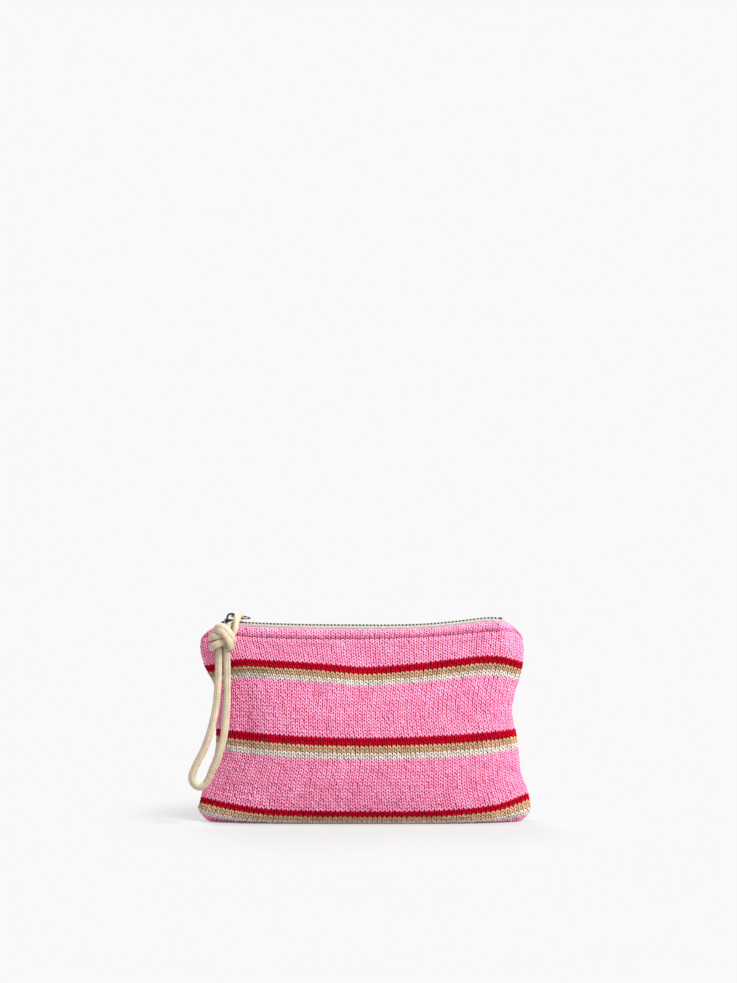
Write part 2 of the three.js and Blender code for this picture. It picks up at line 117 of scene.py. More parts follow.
def full_turn(count):
    """Angles round a full turn in equal steps."""
    return np.linspace(0, 2 * math.pi, count, endpoint=False)


def smooth_path(points, step):
    """Points a step apart on a smooth curve through the given points."""
    points = np.asarray(points, float)
    run = np.sqrt(np.linalg.norm(np.diff(points, axis=0), axis=1))
    places = np.concatenate([[0], np.cumsum(run)])
    fine = through(places, points, np.linspace(0, places[-1], 40 * len(points)))
    length = run_along(fine)
    wanted = np.linspace(0, length[-1], round(length[-1] / step) + 1)
    return np.stack([np.interp(wanted, length, fine[:, axis]) for axis in range(3)], axis=1)


# Making meshes


def make_piece(name, points, faces, finishes, face_finish=None, uv=None, smooth=True):
    """A piece from points in millimetres; face_finish picks a finish for each face."""
    mesh = bpy.data.meshes.new(name)
    mesh.from_pydata((np.asarray(points, float) * MM).tolist(), [], faces)
    for finish in finishes:
        mesh.materials.append(finish)
    if face_finish is not None:
        mesh.polygons.foreach_set("material_index", np.asarray(face_finish, np.int32))
    if uv is not None:
        corner = np.zeros(len(mesh.loops), np.int32)
        mesh.loops.foreach_get("vertex_index", corner)
        layer = mesh.uv_layers.new(name="laid")
        layer.data.foreach_set("uv", np.asarray(uv, np.float32)[corner].ravel())
    mesh.polygons.foreach_set("use_smooth", np.full(len(mesh.polygons), smooth))
    mesh.update()
    piece = bpy.data.objects.new(name, mesh)
    bpy.context.scene.collection.objects.link(piece)
    return piece


def grid_faces(rows, columns, wrap_rows=False, wrap_columns=False):
    """Quads of a grid of points that are stored row after row."""
    j = np.arange(rows if wrap_rows else rows - 1)
    i = np.arange(columns if wrap_columns else columns - 1)
    j, i = np.meshgrid(j, i, indexing="ij")
    up = (j + 1) % rows
    along = (i + 1) % columns
    corners = [j * columns + i, j * columns + along, up * columns + along, up * columns + i]
    return np.stack(corners, axis=-1).reshape(-1, 4).tolist()


def closed_rings(rings, count):
    """Faces of rings of count points each, one after another, with both ends filled."""
    faces = grid_faces(rings, count, wrap_columns=True)
    faces.append(list(range(count))[::-1])
    faces.append([(rings - 1) * count + k for k in range(count)])
    return faces


def rings_on(path, across, out, section):
    """A section round each point of a path; section gives its points across and out."""
    across = np.broadcast_to(across, path.shape)[:, None]
    out = np.broadcast_to(out, path.shape)[:, None]
    return path[:, None] + across * section[..., :1] + out * section[..., 1:]


def swept(path, across, out, section):
    """A tube of a section carried along a path, with its ends filled."""
    points = rings_on(path, across, out, section).reshape(-1, 3)
    return points, closed_rings(len(path), section.shape[-2])


def tube_uv(path, count):
    """A tube's layout: round it there and back, and the length along it."""
    around = np.abs(np.linspace(-1, 1, count, endpoint=False))
    return np.stack(np.meshgrid(around, run_along(path), indexing="xy"), axis=-1).reshape(-1, 2)


def together(parts):
    """Several lots of points and faces as one."""
    faces = []
    first = 0
    for points, shapes in parts:
        faces += [[k + first for k in face] for face in shapes]
        first += len(points)
    return np.concatenate([points for points, _ in parts]), faces


def round_edges(piece, width):
    """Bevel a piece's sharp edges, and turn the bevel into its mesh."""
    bevel = piece.modifiers.new("soft_edges", "BEVEL")
    bevel.width = width * MM
    bevel.segments = 3
    bevel.limit_method = "ANGLE"
    bevel.angle_limit = math.radians(35)
    bevel.harden_normals = True
    bpy.context.view_layer.update()
    seen = piece.evaluated_get(bpy.context.evaluated_depsgraph_get())
    mesh = bpy.data.meshes.new_from_object(seen)
    piece.modifiers.clear()
    piece.data = mesh


# Node helpers


def put_in(tree, made, values):
    """Fill a node's inputs, each with a number, a colour, or a socket that is wired to it."""
    for name, value in dict(values).items():
        if isinstance(value, bpy.types.NodeSocket):
            tree.links.new(value, made.inputs[name])
        else:
            made.inputs[name].default_value = value


def node(tree, kind, values=(), **settings):
    """A new node with its settings and inputs."""
    made = tree.nodes.new(kind)
    for name, value in settings.items():
        setattr(made, name, value)
    put_in(tree, made, values)
    return made


def new_material(name):
    """A material whose shader is wired to its output, with its tree and that shader."""
    material = bpy.data.materials.new(name)
    material.use_nodes = True
    tree = material.node_tree
    tree.nodes.clear()
    shader = node(tree, "ShaderNodeBsdfPrincipled")
    node(tree, "ShaderNodeOutputMaterial", {"Surface": shader.outputs[0]})
    return material, tree, shader


def sum_of(tree, operation, *terms):
    """What a Math node gives; each term is a socket or a number."""
    return node(tree, "ShaderNodeMath", dict(enumerate(terms)), operation=operation).outputs[0]


def ramp(tree, value, low, high, to_low=0, to_high=1, **settings):
    """A value that runs from low to high, made to run from to_low to to_high."""
    values = {"Value": value, "From Min": low, "From Max": high, "To Min": to_low, "To Max": to_high}
    return node(tree, "ShaderNodeMapRange", values, **settings).outputs[0]


def noise(tree, place, scale, detail, roughness=0.5):
    values = {"Vector": place, "Scale": scale, "Detail": detail, "Roughness": roughness}
    return node(tree, "ShaderNodeTexNoise", values).outputs[0]


def mixed(tree, share, low, high):
    """A colour between low and high, each of which is a colour or a socket."""
    low, high = ((*colour, 1) if isinstance(colour, tuple) else colour for colour in (low, high))
    return node(tree, "ShaderNodeMix", {0: share, 6: low, 7: high}, data_type="RGBA").outputs[2]


def bumped(tree, height, strength, distance):
    values = {"Height": height, "Strength": strength, "Distance": distance}
    return node(tree, "ShaderNodeBump", values).outputs[0]


def laid_out(tree):
    """How far across and along its threads a point is, from the piece's own layout."""
    laid = node(tree, "ShaderNodeUVMap", uv_map="laid").outputs[0]
    return node(tree, "ShaderNodeSeparateXYZ", {0: laid}).outputs


def object_place(tree):
    return node(tree, "ShaderNodeTexCoord").outputs["Object"]


def new_group(name, **inputs):
    """A node group, and the sockets of the values that it is given."""
    group = bpy.data.node_groups.new(name, "ShaderNodeTree")
    for label, value in inputs.items():
        socket = group.interface.new_socket(label, in_out="INPUT", socket_type="NodeSocketFloat")
        socket.default_value = value
    return group, node(group, "NodeGroupInput").outputs


def give_out(group, **results):
    """End a node group with its named results."""
    for label in results:
        group.interface.new_socket(label, in_out="OUTPUT", socket_type="NodeSocketFloat")
    node(group, "NodeGroupOutput", results)
    return group


def placed_group(tree, group, **values):
    """Put a group into a tree with values of its own, and return its outputs."""
    return node(tree, "ShaderNodeGroup", values, node_tree=group).outputs


# Effects that several finishes share


def yarn_plies_group():
    """Twisted plies along each leg of a stitch, and loose fibre over them."""
    group, given = new_group("yarn_plies", turns=3.0, fibre=1600.0)
    across, along, _ = laid_out(group)
    lean = sum_of(group, "MULTIPLY", across, 0.8)
    turn = sum_of(group, "MULTIPLY_ADD", along, given["turns"], lean)
    ply = sum_of(group, "SINE", sum_of(group, "MULTIPLY", turn, 2 * math.pi))
    place = object_place(group)
    fibre = noise(group, place, given["fibre"], 3, 0.65)
    patch = noise(group, place, 90, 4)
    height = sum_of(group, "MULTIPLY_ADD", ply, 0.35, fibre)
    loose = sum_of(group, "MULTIPLY_ADD", fibre, 0.55, sum_of(group, "MULTIPLY", ply, 0.08))
    tint = sum_of(group, "MULTIPLY_ADD", patch, 0.45, loose)
    return give_out(group, height=height, tint=tint)


def weave_group():
    """Over and under threads of a flat woven cloth, laid out in millimetres."""
    group, given = new_group("weave", threads=2.0, slant=0.0)
    across, along, _ = laid_out(group)
    full = sum_of(group, "MULTIPLY", given["threads"], 2 * math.pi)
    leaned = sum_of(group, "MULTIPLY_ADD", along, given["slant"], across)
    warp = sum_of(group, "SINE", sum_of(group, "MULTIPLY", leaned, full))
    weft = sum_of(group, "SINE", sum_of(group, "MULTIPLY", along, full))
    cross = sum_of(group, "MULTIPLY", warp, weft)
    slub = noise(group, object_place(group), 700, 3)
    height = sum_of(group, "MULTIPLY_ADD", cross, 0.4, slub)
    tint = sum_of(group, "MULTIPLY_ADD", cross, 0.2, slub)
    return give_out(group, height=height, tint=tint)


def leather_grain_group():
    """Fine pebbled grain and soft mottling of dressed leather."""
    group, given = new_group("leather_grain", pebbles=1500.0)
    place = object_place(group)
    values = {"Vector": place, "Scale": given["pebbles"], "Smoothness": 0.6}
    cells = node(group, "ShaderNodeTexVoronoi", values, feature="SMOOTH_F1").outputs[0]
    folds = noise(group, place, 260, 5, 0.6)
    patch = noise(group, place, 45, 4)
    height = sum_of(group, "MULTIPLY_ADD", folds, 1.4, cells)
    mottle = sum_of(group, "MULTIPLY_ADD", folds, 0.5, sum_of(group, "MULTIPLY", patch, 0.5))
    return give_out(group, height=height, mottle=mottle)


def plated_wear_group():
    """Tumbled plating: small scuffs, dull patches and rubbed high spots."""
    group, given = new_group("plated_wear", scuffs=900.0)
    place = object_place(group)
    scuff = noise(group, place, given["scuffs"], 6, 0.7)
    patch = noise(group, place, 240, 3)
    edge = ramp(group, node(group, "ShaderNodeNewGeometry").outputs["Pointiness"], 0.52, 0.66)
    rubbed = sum_of(group, "MULTIPLY", edge, sum_of(group, "ADD", patch, 0.2))
    return give_out(group, height=scuff, dull=patch, rubbed=rubbed)


yarn_plies = yarn_plies_group()
weave = weave_group()
leather_grain = leather_grain_group()
plated_wear = plated_wear_group()


# Finishes


def yarn_finish(name, hollow, deep, light, gloss):
    """Yarn, from a painted shade colour in its hollows between stitches to the paler tops of its legs, a
    slight painted highlight.
    """
    material, tree, shader = new_material(name)
    yarn = placed_group(tree, yarn_plies)
    own = node(tree, "ShaderNodeAttribute", attribute_name="stitch_tone_and_shade").outputs["Fac"]
    tone = sum_of(tree, "MULTIPLY_ADD", own, 0.07, yarn["tint"])
    fibre = mixed(tree, ramp(tree, tone, 0.3, 0.72), deep, light)
    # Painted shade: low stitch tones, at the tucked leg ends and on the backing, turn the colour to the
    # hollow shade colour
    surface = {
        "Base Color": mixed(tree, ramp(tree, own, -3.6, -1.5), hollow, fibre),
        "Normal": bumped(tree, yarn["height"], 0.75, 0.0004),
        "Roughness": 0.7,
        "Specular IOR Level": gloss,
        "Sheen Weight": 0.05,
        "Sheen Roughness": 0.5,
        "Sheen Tint": (*light, 1),
    }
    put_in(tree, shader, surface)
    return material


def cloth_finish(name, deep, light, threads, slant, roughness):
    material, tree, shader = new_material(name)
    cloth = placed_group(tree, weave, threads=threads, slant=slant)
    surface = {
        "Base Color": mixed(tree, ramp(tree, cloth["tint"], 0.3, 0.7), deep, light),
        "Normal": bumped(tree, cloth["height"], 0.6, 0.00025),
        "Roughness": roughness,
        "Specular IOR Level": 0.3,
        "Sheen Weight": 0.15,
        "Sheen Roughness": 0.5,
    }
    put_in(tree, shader, surface)
    return material


def leather_finish(name, deep, light):
    material, tree, shader = new_material(name)
    grain = placed_group(tree, leather_grain)
    surface = {
        "Base Color": mixed(tree, ramp(tree, grain["mottle"], 0.35, 0.65), deep, light),
        "Normal": bumped(tree, grain["height"], 0.35, 0.00018),
        "Roughness": ramp(tree, grain["mottle"], 0, 1, 0.42, 0.62),
        "Specular IOR Level": 0.4,
    }
    put_in(tree, shader, surface)
    return material


def plating_finish(name, dark, rubbed, smoothest, dullest):
    material, tree, shader = new_material(name)
    wear = placed_group(tree, plated_wear)
    surface = {
        "Base Color": mixed(tree, wear["rubbed"], dark, rubbed),
        "Normal": bumped(tree, wear["height"], 0.2, 0.0001),
        "Roughness": ramp(tree, wear["dull"], 0.3, 0.7, smoothest, dullest),
        "Metallic": 1,
    }
    put_in(tree, shader, surface)
    return material


# The first colour of each yarn is painted shade, for the hollows between its stitches
pink_yarn = yarn_finish("pink_yarn", (0.42, 0.02, 0.11), (0.82, 0.165, 0.345), (0.94, 0.42, 0.61), 0.18)
red_yarn = yarn_finish("red_yarn", (0.16, 0, 0.004), (0.32, 0, 0.008), (0.49, 0.001, 0.018), 0.05)
tan_yarn = yarn_finish("tan_yarn", (0.2, 0.08, 0.04), (0.37, 0.21, 0.11), (0.64, 0.42, 0.25), 0.2)
cream_yarn = yarn_finish("cream_yarn", (0.3, 0.21, 0.17), (0.53, 0.44, 0.39), (0.77, 0.7, 0.64), 0.2)
zip_tape_cloth = cloth_finish("zip_tape_cloth", (0.32, 0.295, 0.265), (0.47, 0.44, 0.405), 1.7, 1.0, 0.85)
lining_cloth = cloth_finish("lining_cloth", (0.66, 0.56, 0.58), (0.86, 0.78, 0.79), 2.2, 0.0, 0.8)
strap_leather = leather_finish("strap_leather", (0.4, 0.32, 0.22), (0.57, 0.475, 0.345))
nickel = plating_finish("antique_nickel", (0.045, 0.041, 0.04), (0.36, 0.34, 0.33), 0.2, 0.42)
tooth_metal = plating_finish("tooth_metal", (0.022, 0.017, 0.014), (0.16, 0.135, 0.115), 0.3, 0.5)
yarns = [pink_yarn, red_yarn, tan_yarn, cream_yarn]
PINK, RED, TAN, CREAM = range(4)

# The pouch's shape, as the solids have it: the knit's outside is a formula of a share across the
# pouch, from -1 on the left to 1, and a share of the way up
body_half_width = 120.3
lower_corner_radius = 11
upper_left_radius = 11.5
upper_right_radius = 13
seam_half_gap = 0.02
knit_thickness = 2.2
tape_shown = 2.6
tape_thickness = 0.7
band_half_depth = 9.25
belly_half_depth = 24.3
base_half_depth = 13.3
zip_radius = 1161
zip_low_x = -24.3
zip_low_height = 142.2
# How far the zip hangs under its arc
middle_sag = 1.5
right_sag = 3.8
left_sag = 1.8

# How far the sides stand in from the widest line, and half the depth, at shares of the way up
left_inset = (
    (0, 0.1, 0.22, 0.33, 0.46, 0.72, 0.86, 0.95, 1),
    (0, 2.4, 6.6, 11.6, 12.3, 11.2, 3.6, 1.1, 2.3),
)
right_inset = (
    (0, 0.1, 0.2, 0.33, 0.42, 0.57, 0.68, 0.8, 0.93, 1),
    (0, 1.3, 6.1, 7.9, 9.3, 12.8, 10.7, 6.1, 4.4, 6.3),
)
belly_over_base = belly_half_depth - base_half_depth
belly_over_band = belly_half_depth - band_half_depth
half_depths = (
    (0, 0.06, 0.25, 0.55, 0.85, 1),
    (
        base_half_depth,
        base_half_depth + 0.6 * belly_over_base,
        belly_half_depth,
        belly_half_depth - 0.18 * belly_over_band,
        belly_half_depth - 0.8 * belly_over_band,
        band_half_depth,
    ),
)


def corner_drop(from_middle, half_length, radius):
    """How far a rounded corner takes an edge in, this far from the edge's middle."""
    past = np.clip(from_middle - (half_length - radius), 0, radius)
    return radius - np.sqrt(radius**2 - past**2)


def zip_arc(x):
    """The shallow arc that the slider runs on."""
    return zip_low_height + zip_radius - np.sqrt(zip_radius**2 - (x - zip_low_x) ** 2)


def zip_height(x):
    """The line of the zip, which sags a little on the right and at both of its sewn ends."""
    middle = middle_sag * hump(x, 44, 40)
    return zip_arc(x) - middle - right_sag * ease(x, 86, 118) - left_sag * ease(-x, 100, 110)


def side_half_width(across, up):
    return body_half_width - np.where(across < 0, through(*left_inset, up), through(*right_inset, up))


def top_half_width(across):
    return side_half_width(across, np.ones_like(across))


def top_corner_drop(across):
    half = top_half_width(across)
    left = corner_drop(np.abs(across) * half, half, upper_left_radius)
    right = corner_drop(np.abs(across) * half, half, upper_right_radius)
    return np.where(across < 0, left, right)


def lower_edge(across):
    return corner_drop(np.abs(across) * body_half_width, body_half_width, lower_corner_radius)


def upper_edge(across):
    return zip_height(across * top_half_width(across)) - tape_shown - top_corner_drop(across)


def fullness(across, up):
    """The share of its full depth that the pouch has here; it falls away to the sides."""
    near_top = ease(up, 0.75, 1)
    near_base = 1 - ease(up, 0, 0.2)
    squareness = 2.6 + 21.4 * near_top + 1.4 * near_base
    return np.maximum(0, 1 - np.abs(across) ** squareness) ** (0.62 - 0.12 * near_top)


def openness(across, up):
    """1 where front and back stand apart, 0 where they are sewn together at the top corners."""
    return 1 - ease(np.abs(across), 0.86, 0.95) * ease(up, 0.84, 1)


def body_point(side, across, up, below):
    """A point of the front (side -1) or back (side 1), this far below the knit's outside."""
    x = across * (side_half_width(across, up) - below)
    apart = openness(across, up)
    depth = through(*half_depths, up) * apart + knit_thickness * (1 - apart)
    y = side * (seam_half_gap + np.maximum(depth - below, 0.05) * fullness(across, up))
    z = lower_edge(across) * (1 - up) + upper_edge(across) * up
    return np.stack([x, y, z], axis=-1)


# The knitting: wales are columns of stitches and courses are rows, counted up from the base
wales = 70
lowest_course = -2
top_course = 63
groove_course = 60
rim_courses = 1.2
table_steps = 4
# The height of some of the courses at the middle of the pouch
course_heights = (
    (-2, 0, 1, 3, 5, 7, 23, 25, 27, 29, 45, 47, 49, 51, 60, 63),
    (-2.2, 0, 0.9, 3.2, 6.1, 10.1, 48, 52.7, 57.8, 63.5, 100.3, 104.4, 108.8, 113.9, 134, 139.25),
)
groove_height = course_heights[1][-2]
top_height = course_heights[1][-1]
# How far four courses rise towards the sides of the pouch
rise_at_base = ((-1, -0.9, -0.75, -0.5, 0, 0.5, 0.75, 0.9, 1), (4.6, 2.6, 1, 0.2, 0, 0.1, 0.6, 1.6, 2.8))
rise_low = (
    (-1, -0.8, -0.6, -0.4, 0, 0.4, 0.6, 0.8, 0.9, 1),
    (7.8, 4.3, 1.6, 0.6, 0, 0.3, 1.5, 3.8, 6.8, 10.5),
)
rise_middle = ((-1, -0.7, -0.4, 0, 0.4, 0.7, 1), (4.6, 2.6, 0.8, 0, 0.8, 2.2, 4.2))
rise_high = (
    (-1, -0.8, -0.55, -0.3, 0, 0.3, 0.55, 0.77, 0.9, 1),
    (0.2, 5.4, 4.4, 2.7, 0, 2, 5.2, 7.9, 6.4, 2.4),
)
stripe_starts = (1, 23, 45)
stripe_colours = (CREAM, CREAM, TAN, TAN, RED, RED)


def course_colour(course):
    for start in stripe_starts:
        if start <= course < start + len(stripe_colours):
            return stripe_colours[course - start]
    return PINK


def course_lines(courses, across):
    """Heights of course lines at shares across the pouch, as shares of the way up."""
    centre = through(*course_heights, courses)[:, None]
    band = upper_edge(across)
    # The groove lies under the rolled band, which is not equally tall all along
    tall = 5.2 + 0.5 * hump(across, -0.35, 0.4) - 0.6 * hump(across, 0.35, 0.3)
    groove = band - tall + 3.4 * ease(np.abs(across), 0.93, 1)
    rises = [
        0.7 * through(*rise_at_base, across),
        through(*rise_at_base, across),
        through(*rise_low, across),
        through(*rise_middle, across),
        through(*rise_high, across),
        groove - groove_height,
        band - top_height,
    ]
    places = (lowest_course, 0, 6, 28, 50, groove_course, top_course)
    height = centre + through(places, np.stack(rises), courses)
    low = lower_edge(across)
    return np.clip((height - low) / (band - low), 0, 1)


def soft_shape(side, across, up):
    """How the soft filling and the gathers at the corners push the knit out or let it sink."""
    inside = 1 - ease(np.abs(across), 0.9, 0.99)
    if side > 0:
        sunk = 1.2 * hump(across, 0.1, 0.22) * hump(up, 0.82, 0.12)
        full = 1.0 * hump(across, -0.3, 0.3) * hump(up, 0.45, 0.2)
        return (full - sunk) * inside
    valley = 1.5 * hump(across, -0.02, 0.13) * hump(up, 0.86, 0.1)
    shoulder = 1.0 * hump(across, 0.4, 0.2) * hump(up, 0.86, 0.09)
    fold = 1.5 * hump(across - 0.25 * (up - 0.5), 0.83, 0.05) * hump(up, 0.5, 0.16)
    hollow = 1.3 * hump(across - 0.3 * (up - 0.5), 0.72, 0.07) * hump(up, 0.52, 0.16)
    cheek = 1.2 * hump(across, 0.7, 0.13) * hump(up, 0.2, 0.08)
    left_hollow = 1.4 * hump(across, -0.8, 0.08) * hump(up, 0.5, 0.16)
    gathers = 0.7 * np.sin(95 * across + 3 * up) * hump(across, -0.95, 0.06) * hump(up, 0.84, 0.1)
    return (shoulder + fold + cheek + gathers - valley - hollow - left_hollow) * inside


def knit_table(side):
    """Places and outward directions over the knit's outside, table_steps to a course and to a wale."""
    courses = np.arange(lowest_course, top_course + rim_courses + 0.01, 1 / table_steps)
    on_rim = np.clip(courses - top_course, 0, None) / rim_courses
    fine = np.linspace(-1, 1, 601)
    up = course_lines(np.minimum(courses, top_course), fine)
    line = body_point(side, np.broadcast_to(fine, up.shape), up, 0)
    run = np.array([run_along(row) for row in line])
    shares = np.linspace(0, 1, wales * table_steps + 1)
    across = np.stack([np.interp(shares * row[-1], row, fine) for row in run])
    up = np.stack([np.interp(across[j], fine, row) for j, row in enumerate(up)])
    small = 0.004
    inside_across = np.clip(across, -1 + 2 * small, 1 - 2 * small)
    inside_up = np.clip(up, small, 1 - small)

    def step_over(sideways, upwards):
        ahead = body_point(side, inside_across + sideways, inside_up + upwards, 0)
        return ahead - body_point(side, inside_across - sideways, inside_up - upwards, 0)

    out = unit(np.cross(step_over(small, 0), step_over(0, small))) * -side
    at = courses[:, None]
    wander = 0.25 * np.sin(across * 31) + 0.2 * np.sin(across * 57 + 1)
    in_band = np.clip((at - groove_course) / (top_course - groove_course), 0, 1)
    in_middle = 1 - ease(np.abs(across), 0.88, 0.97)
    # The filling, the rolled band, the groove under it, the lowest stripes and the turned edges
    proud = (
        soft_shape(side, across, up)
        + (1.1 + 0.5 * wander) * np.sin(math.pi * in_band) ** 0.8
        + 0.45 * hump(at, groove_course - 1.7, 1.1)
        - 1.3 * in_middle * hump(at, groove_course + 0.35 * wander, 0.5)
        + 1.3 * hump(at, 2.6, 2)
        - 1.1 * (1 - ease(at, lowest_course, 1.6))
        - 0.35 * ease(at, top_course - 0.8, top_course)
    )
    places = body_point(side, across, up, 2.7 * on_rim[:, None]) + out * proud[..., None]
    places[..., 2] += (0.5 * np.sin(math.pi * on_rim) - 0.5 * on_rim**2)[:, None]
    over_rim = (math.pi / 2) * ease(at, top_course - 0.8, top_course + 0.7)
    tip = over_rim - 0.6 * (1 - ease(at, -0.5, 1.5))
    out = unit(out * np.cos(tip)[..., None] + np.array([0, 0, 1]) * np.sin(tip)[..., None])
    return places, out


def read_table(table, course, wale):
    """Values of a table at course and wale numbers, between its nearest entries."""
    row = np.clip((course - lowest_course) * table_steps, 0, table.shape[0] - 1.001)
    column = np.clip(wale * table_steps, 0, table.shape[1] - 1.001)
    j = row.astype(int)
    i = column.astype(int)
    t = (row - j)[..., None]
    s = (column - i)[..., None]
    low = table[j, i] * (1 - s) + table[j, i + 1] * s
    high = table[j + 1, i] * (1 - s) + table[j + 1, i + 1] * s
    return low * (1 - t) + high * t


# One leg of a stitch: places along it, and there its lean, climb, width, lift, thickness and tone, whose low
# ends are painted shade where the leg tucks under and whose raised middle is a slight painted highlight
leg_along = np.array([0, 0.25, 0.5, 0.75, 1])[:, None]
leg_lean = 0.08 + 0.34 * leg_along**0.85
leg_climb = -0.3 + 1.38 * leg_along
leg_half_width = 0.215 * np.array([0.48, 0.92, 1, 0.93, 0.52])[:, None]
leg_lift = 0.75 * np.array([-0.2, 0.18, 0.25, 0, -0.65])[:, None]
leg_thickness = 0.75 * np.array([0.7, 1, 1, 1, 0.7])[:, None]
# Painted shade at both tucked ends of each leg, and a slight painted highlight at its middle
leg_shade_and_highlight = np.array([-2.6, -0.3, 0.4, 0.1, -2.0])[:, None]
leg_around = np.radians([0, 45, 90, 135, 180])
# Painted shade: the backing takes a tone low enough to show only the hollow shade colour
backing_painted_shade = -4.0
shortest_leg = 0.5


def stitch_legs(chart, courses, first_wale, last_wale, seed):
    """All the legs of the stitches in some courses and wales: points, faces, colours, layout, and tone,
    which holds painted shade and painted light.
    """
    places, out = chart
    rng = np.random.default_rng(seed)
    course, wale, hand = np.meshgrid(courses, np.arange(first_wale, last_wale), (-1, 1), indexing="ij")
    course, wale, hand = (value.ravel()[:, None, None] for value in (course, wale, hand))
    each = (len(course), 1, 1)
    size = 1 + 0.09 * rng.standard_normal(each)
    shift = 0.03 * rng.standard_normal(each)
    raise_by = 0.09 * rng.standard_normal(each)
    tone = 0.45 * np.clip(rng.standard_normal(each), -1.6, 1.6)
    width = leg_half_width * size * np.cos(leg_around)
    at_wale = wale + 0.5 + hand * leg_lean + width + shift
    at_course = np.broadcast_to(course + leg_climb + shift, at_wale.shape)
    height = leg_lift + leg_thickness * size * np.sin(leg_around) + raise_by
    points = read_table(places, at_course, at_wale) + read_table(out, at_course, at_wale) * height[..., None]
    points[..., 2] = np.maximum(points[..., 2], 0.05)
    # Legs that are too short, where courses run together at an edge, are left out
    kept = np.linalg.norm(points[:, 3, 2] - points[:, 1, 2], axis=1) > shortest_leg
    points = points[kept]
    count, rings, sides = points.shape[:3]
    # Painted light: the knit is made a little paler at the top, where more light falls on it
    painted_top_light = 0.6 * ease(points[..., 2].mean(axis=(1, 2)), 118, 130)[:, None, None]
    # A leg's tone: its random tone, the painted top light, and the painted shade and highlight along the leg
    tone = np.broadcast_to(tone[kept] + painted_top_light + leg_shade_and_highlight, (count, rings, sides)).ravel()
    one = np.array(grid_faces(rings, sides))
    faces = (one[None] + (np.arange(count) * rings * sides)[:, None, None]).reshape(-1, 4)
    colours = np.repeat([course_colour(c) for c in course.ravel()[kept]], len(one))
    start = rng.random((count, 1, 1))
    layout = np.stack(np.broadcast_arrays(leg_around / math.pi, leg_along + start), axis=-1)
    return points.reshape(-1, 3), faces, colours, layout.reshape(-1, 2), tone


def backing_sheet(chart, courses, first_wale, last_wale, sunk):
    """The cloth that shows in the small gaps between stitches, given as the legs are; its tone paints it in
    the hollows' painted shade colour.
    """
    places, out = chart
    lines = np.append(courses, courses[-1] + 1).astype(float)
    columns = np.arange(first_wale, last_wale + 1, dtype=float)
    course, wale = np.meshgrid(lines, columns, indexing="ij")
    points = read_table(places, course, wale) - read_table(out, course, wale) * sunk
    points[..., 2] = np.maximum(points[..., 2], 0.4)
    faces = np.array(grid_faces(len(lines), len(columns)))
    colours = np.repeat([course_colour(c) for c in courses], len(columns) - 1)
    layout = np.stack([wale * 0.5, course], axis=-1).reshape(-1, 2)
    return points.reshape(-1, 3), faces, colours, layout, np.full(wale.size, backing_painted_shade)


def knitted_piece(name, chart, courses, first_wale, last_wale, seed, finishes, sunk):
    """Stitches and the backing behind them as one piece; the seed sets how its yarn varies."""
    legs = stitch_legs(chart, courses, first_wale, last_wale, seed)
    backing = backing_sheet(chart, courses, first_wale, last_wale, sunk)
    points, faces, colours, layout, tones = (np.concatenate(both) for both in zip(legs, backing))
    faces[len(legs[1]):] += len(legs[0])
    piece = make_piece(name, points, faces.tolist(), finishes, colours % len(finishes), layout)
    # The stitch tone, painted shade and highlight included, is kept on the points for the yarn finish
    tone = piece.data.attributes.new("stitch_tone_and_shade", "FLOAT", "POINT")
    tone.data.foreach_set("value", tones)
    return piece


# The mouth: the back of the pouch bows away from the front between these two places on the zip.
# So its pieces are made as two halves, each with its own end of the zip.
halves = ((-1, "left", "slider_end"), (1, "right", "stop_end"))


def bows_with_mouth(piece):
    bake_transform(piece)


def knit_body():
    courses = list(range(lowest_course, top_course + 1))
    front = knit_table(-1)
    back = knit_table(1)
    for hand, label, _ in halves:
        first = 0 if hand < 0 else wales // 2
        last = first + wales // 2
        piece = knitted_piece(f"knit_front_{label}_half", front, courses, first, last, 11 + hand, yarns, 0.6)
        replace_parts(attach(piece, "pouch"), "knit_front")
        piece = knitted_piece(f"knit_back_{label}_half", back, courses, first, last, 21 + hand, yarns, 0.6)
        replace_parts(piece, "knit_back")
        bows_with_mouth(piece)


base_courses = 11


def base_table():
    """Places over the base, from its front edge to its back edge, with the knit facing down."""
    fine = np.linspace(-1, 1, 801)
    run = run_along(np.column_stack([body_half_width * fine, lower_edge(fine)]))
    across = np.interp(np.linspace(0, run[-1], wales * table_steps + 1), run, fine)
    edge = body_point(1, across, np.zeros_like(across), 0)
    x = edge[:, 0]
    z = lower_edge(across)
    out = unit(np.column_stack([np.gradient(z), np.zeros_like(z), -np.gradient(x)]))
    front_back = np.linspace(-1, 1, base_courses * table_steps + 1)[:, None]
    places = np.stack(np.broadcast_arrays(x, front_back * (edge[:, 1] - 0.4), z), axis=-1)
    out = np.broadcast_to(out, places.shape)
    return places - 0.75 * out, out


def knit_base():
    courses = [c + lowest_course for c in range(base_courses)]
    piece = knitted_piece("knit_base_stitches", base_table(), courses, 0, wales, 31, [pink_yarn], 0.3)
    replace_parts(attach(piece, "pouch"), "knit_base")


knit_body()
knit_base()


# Tape and lining: cloth strips that are carried across the pouch


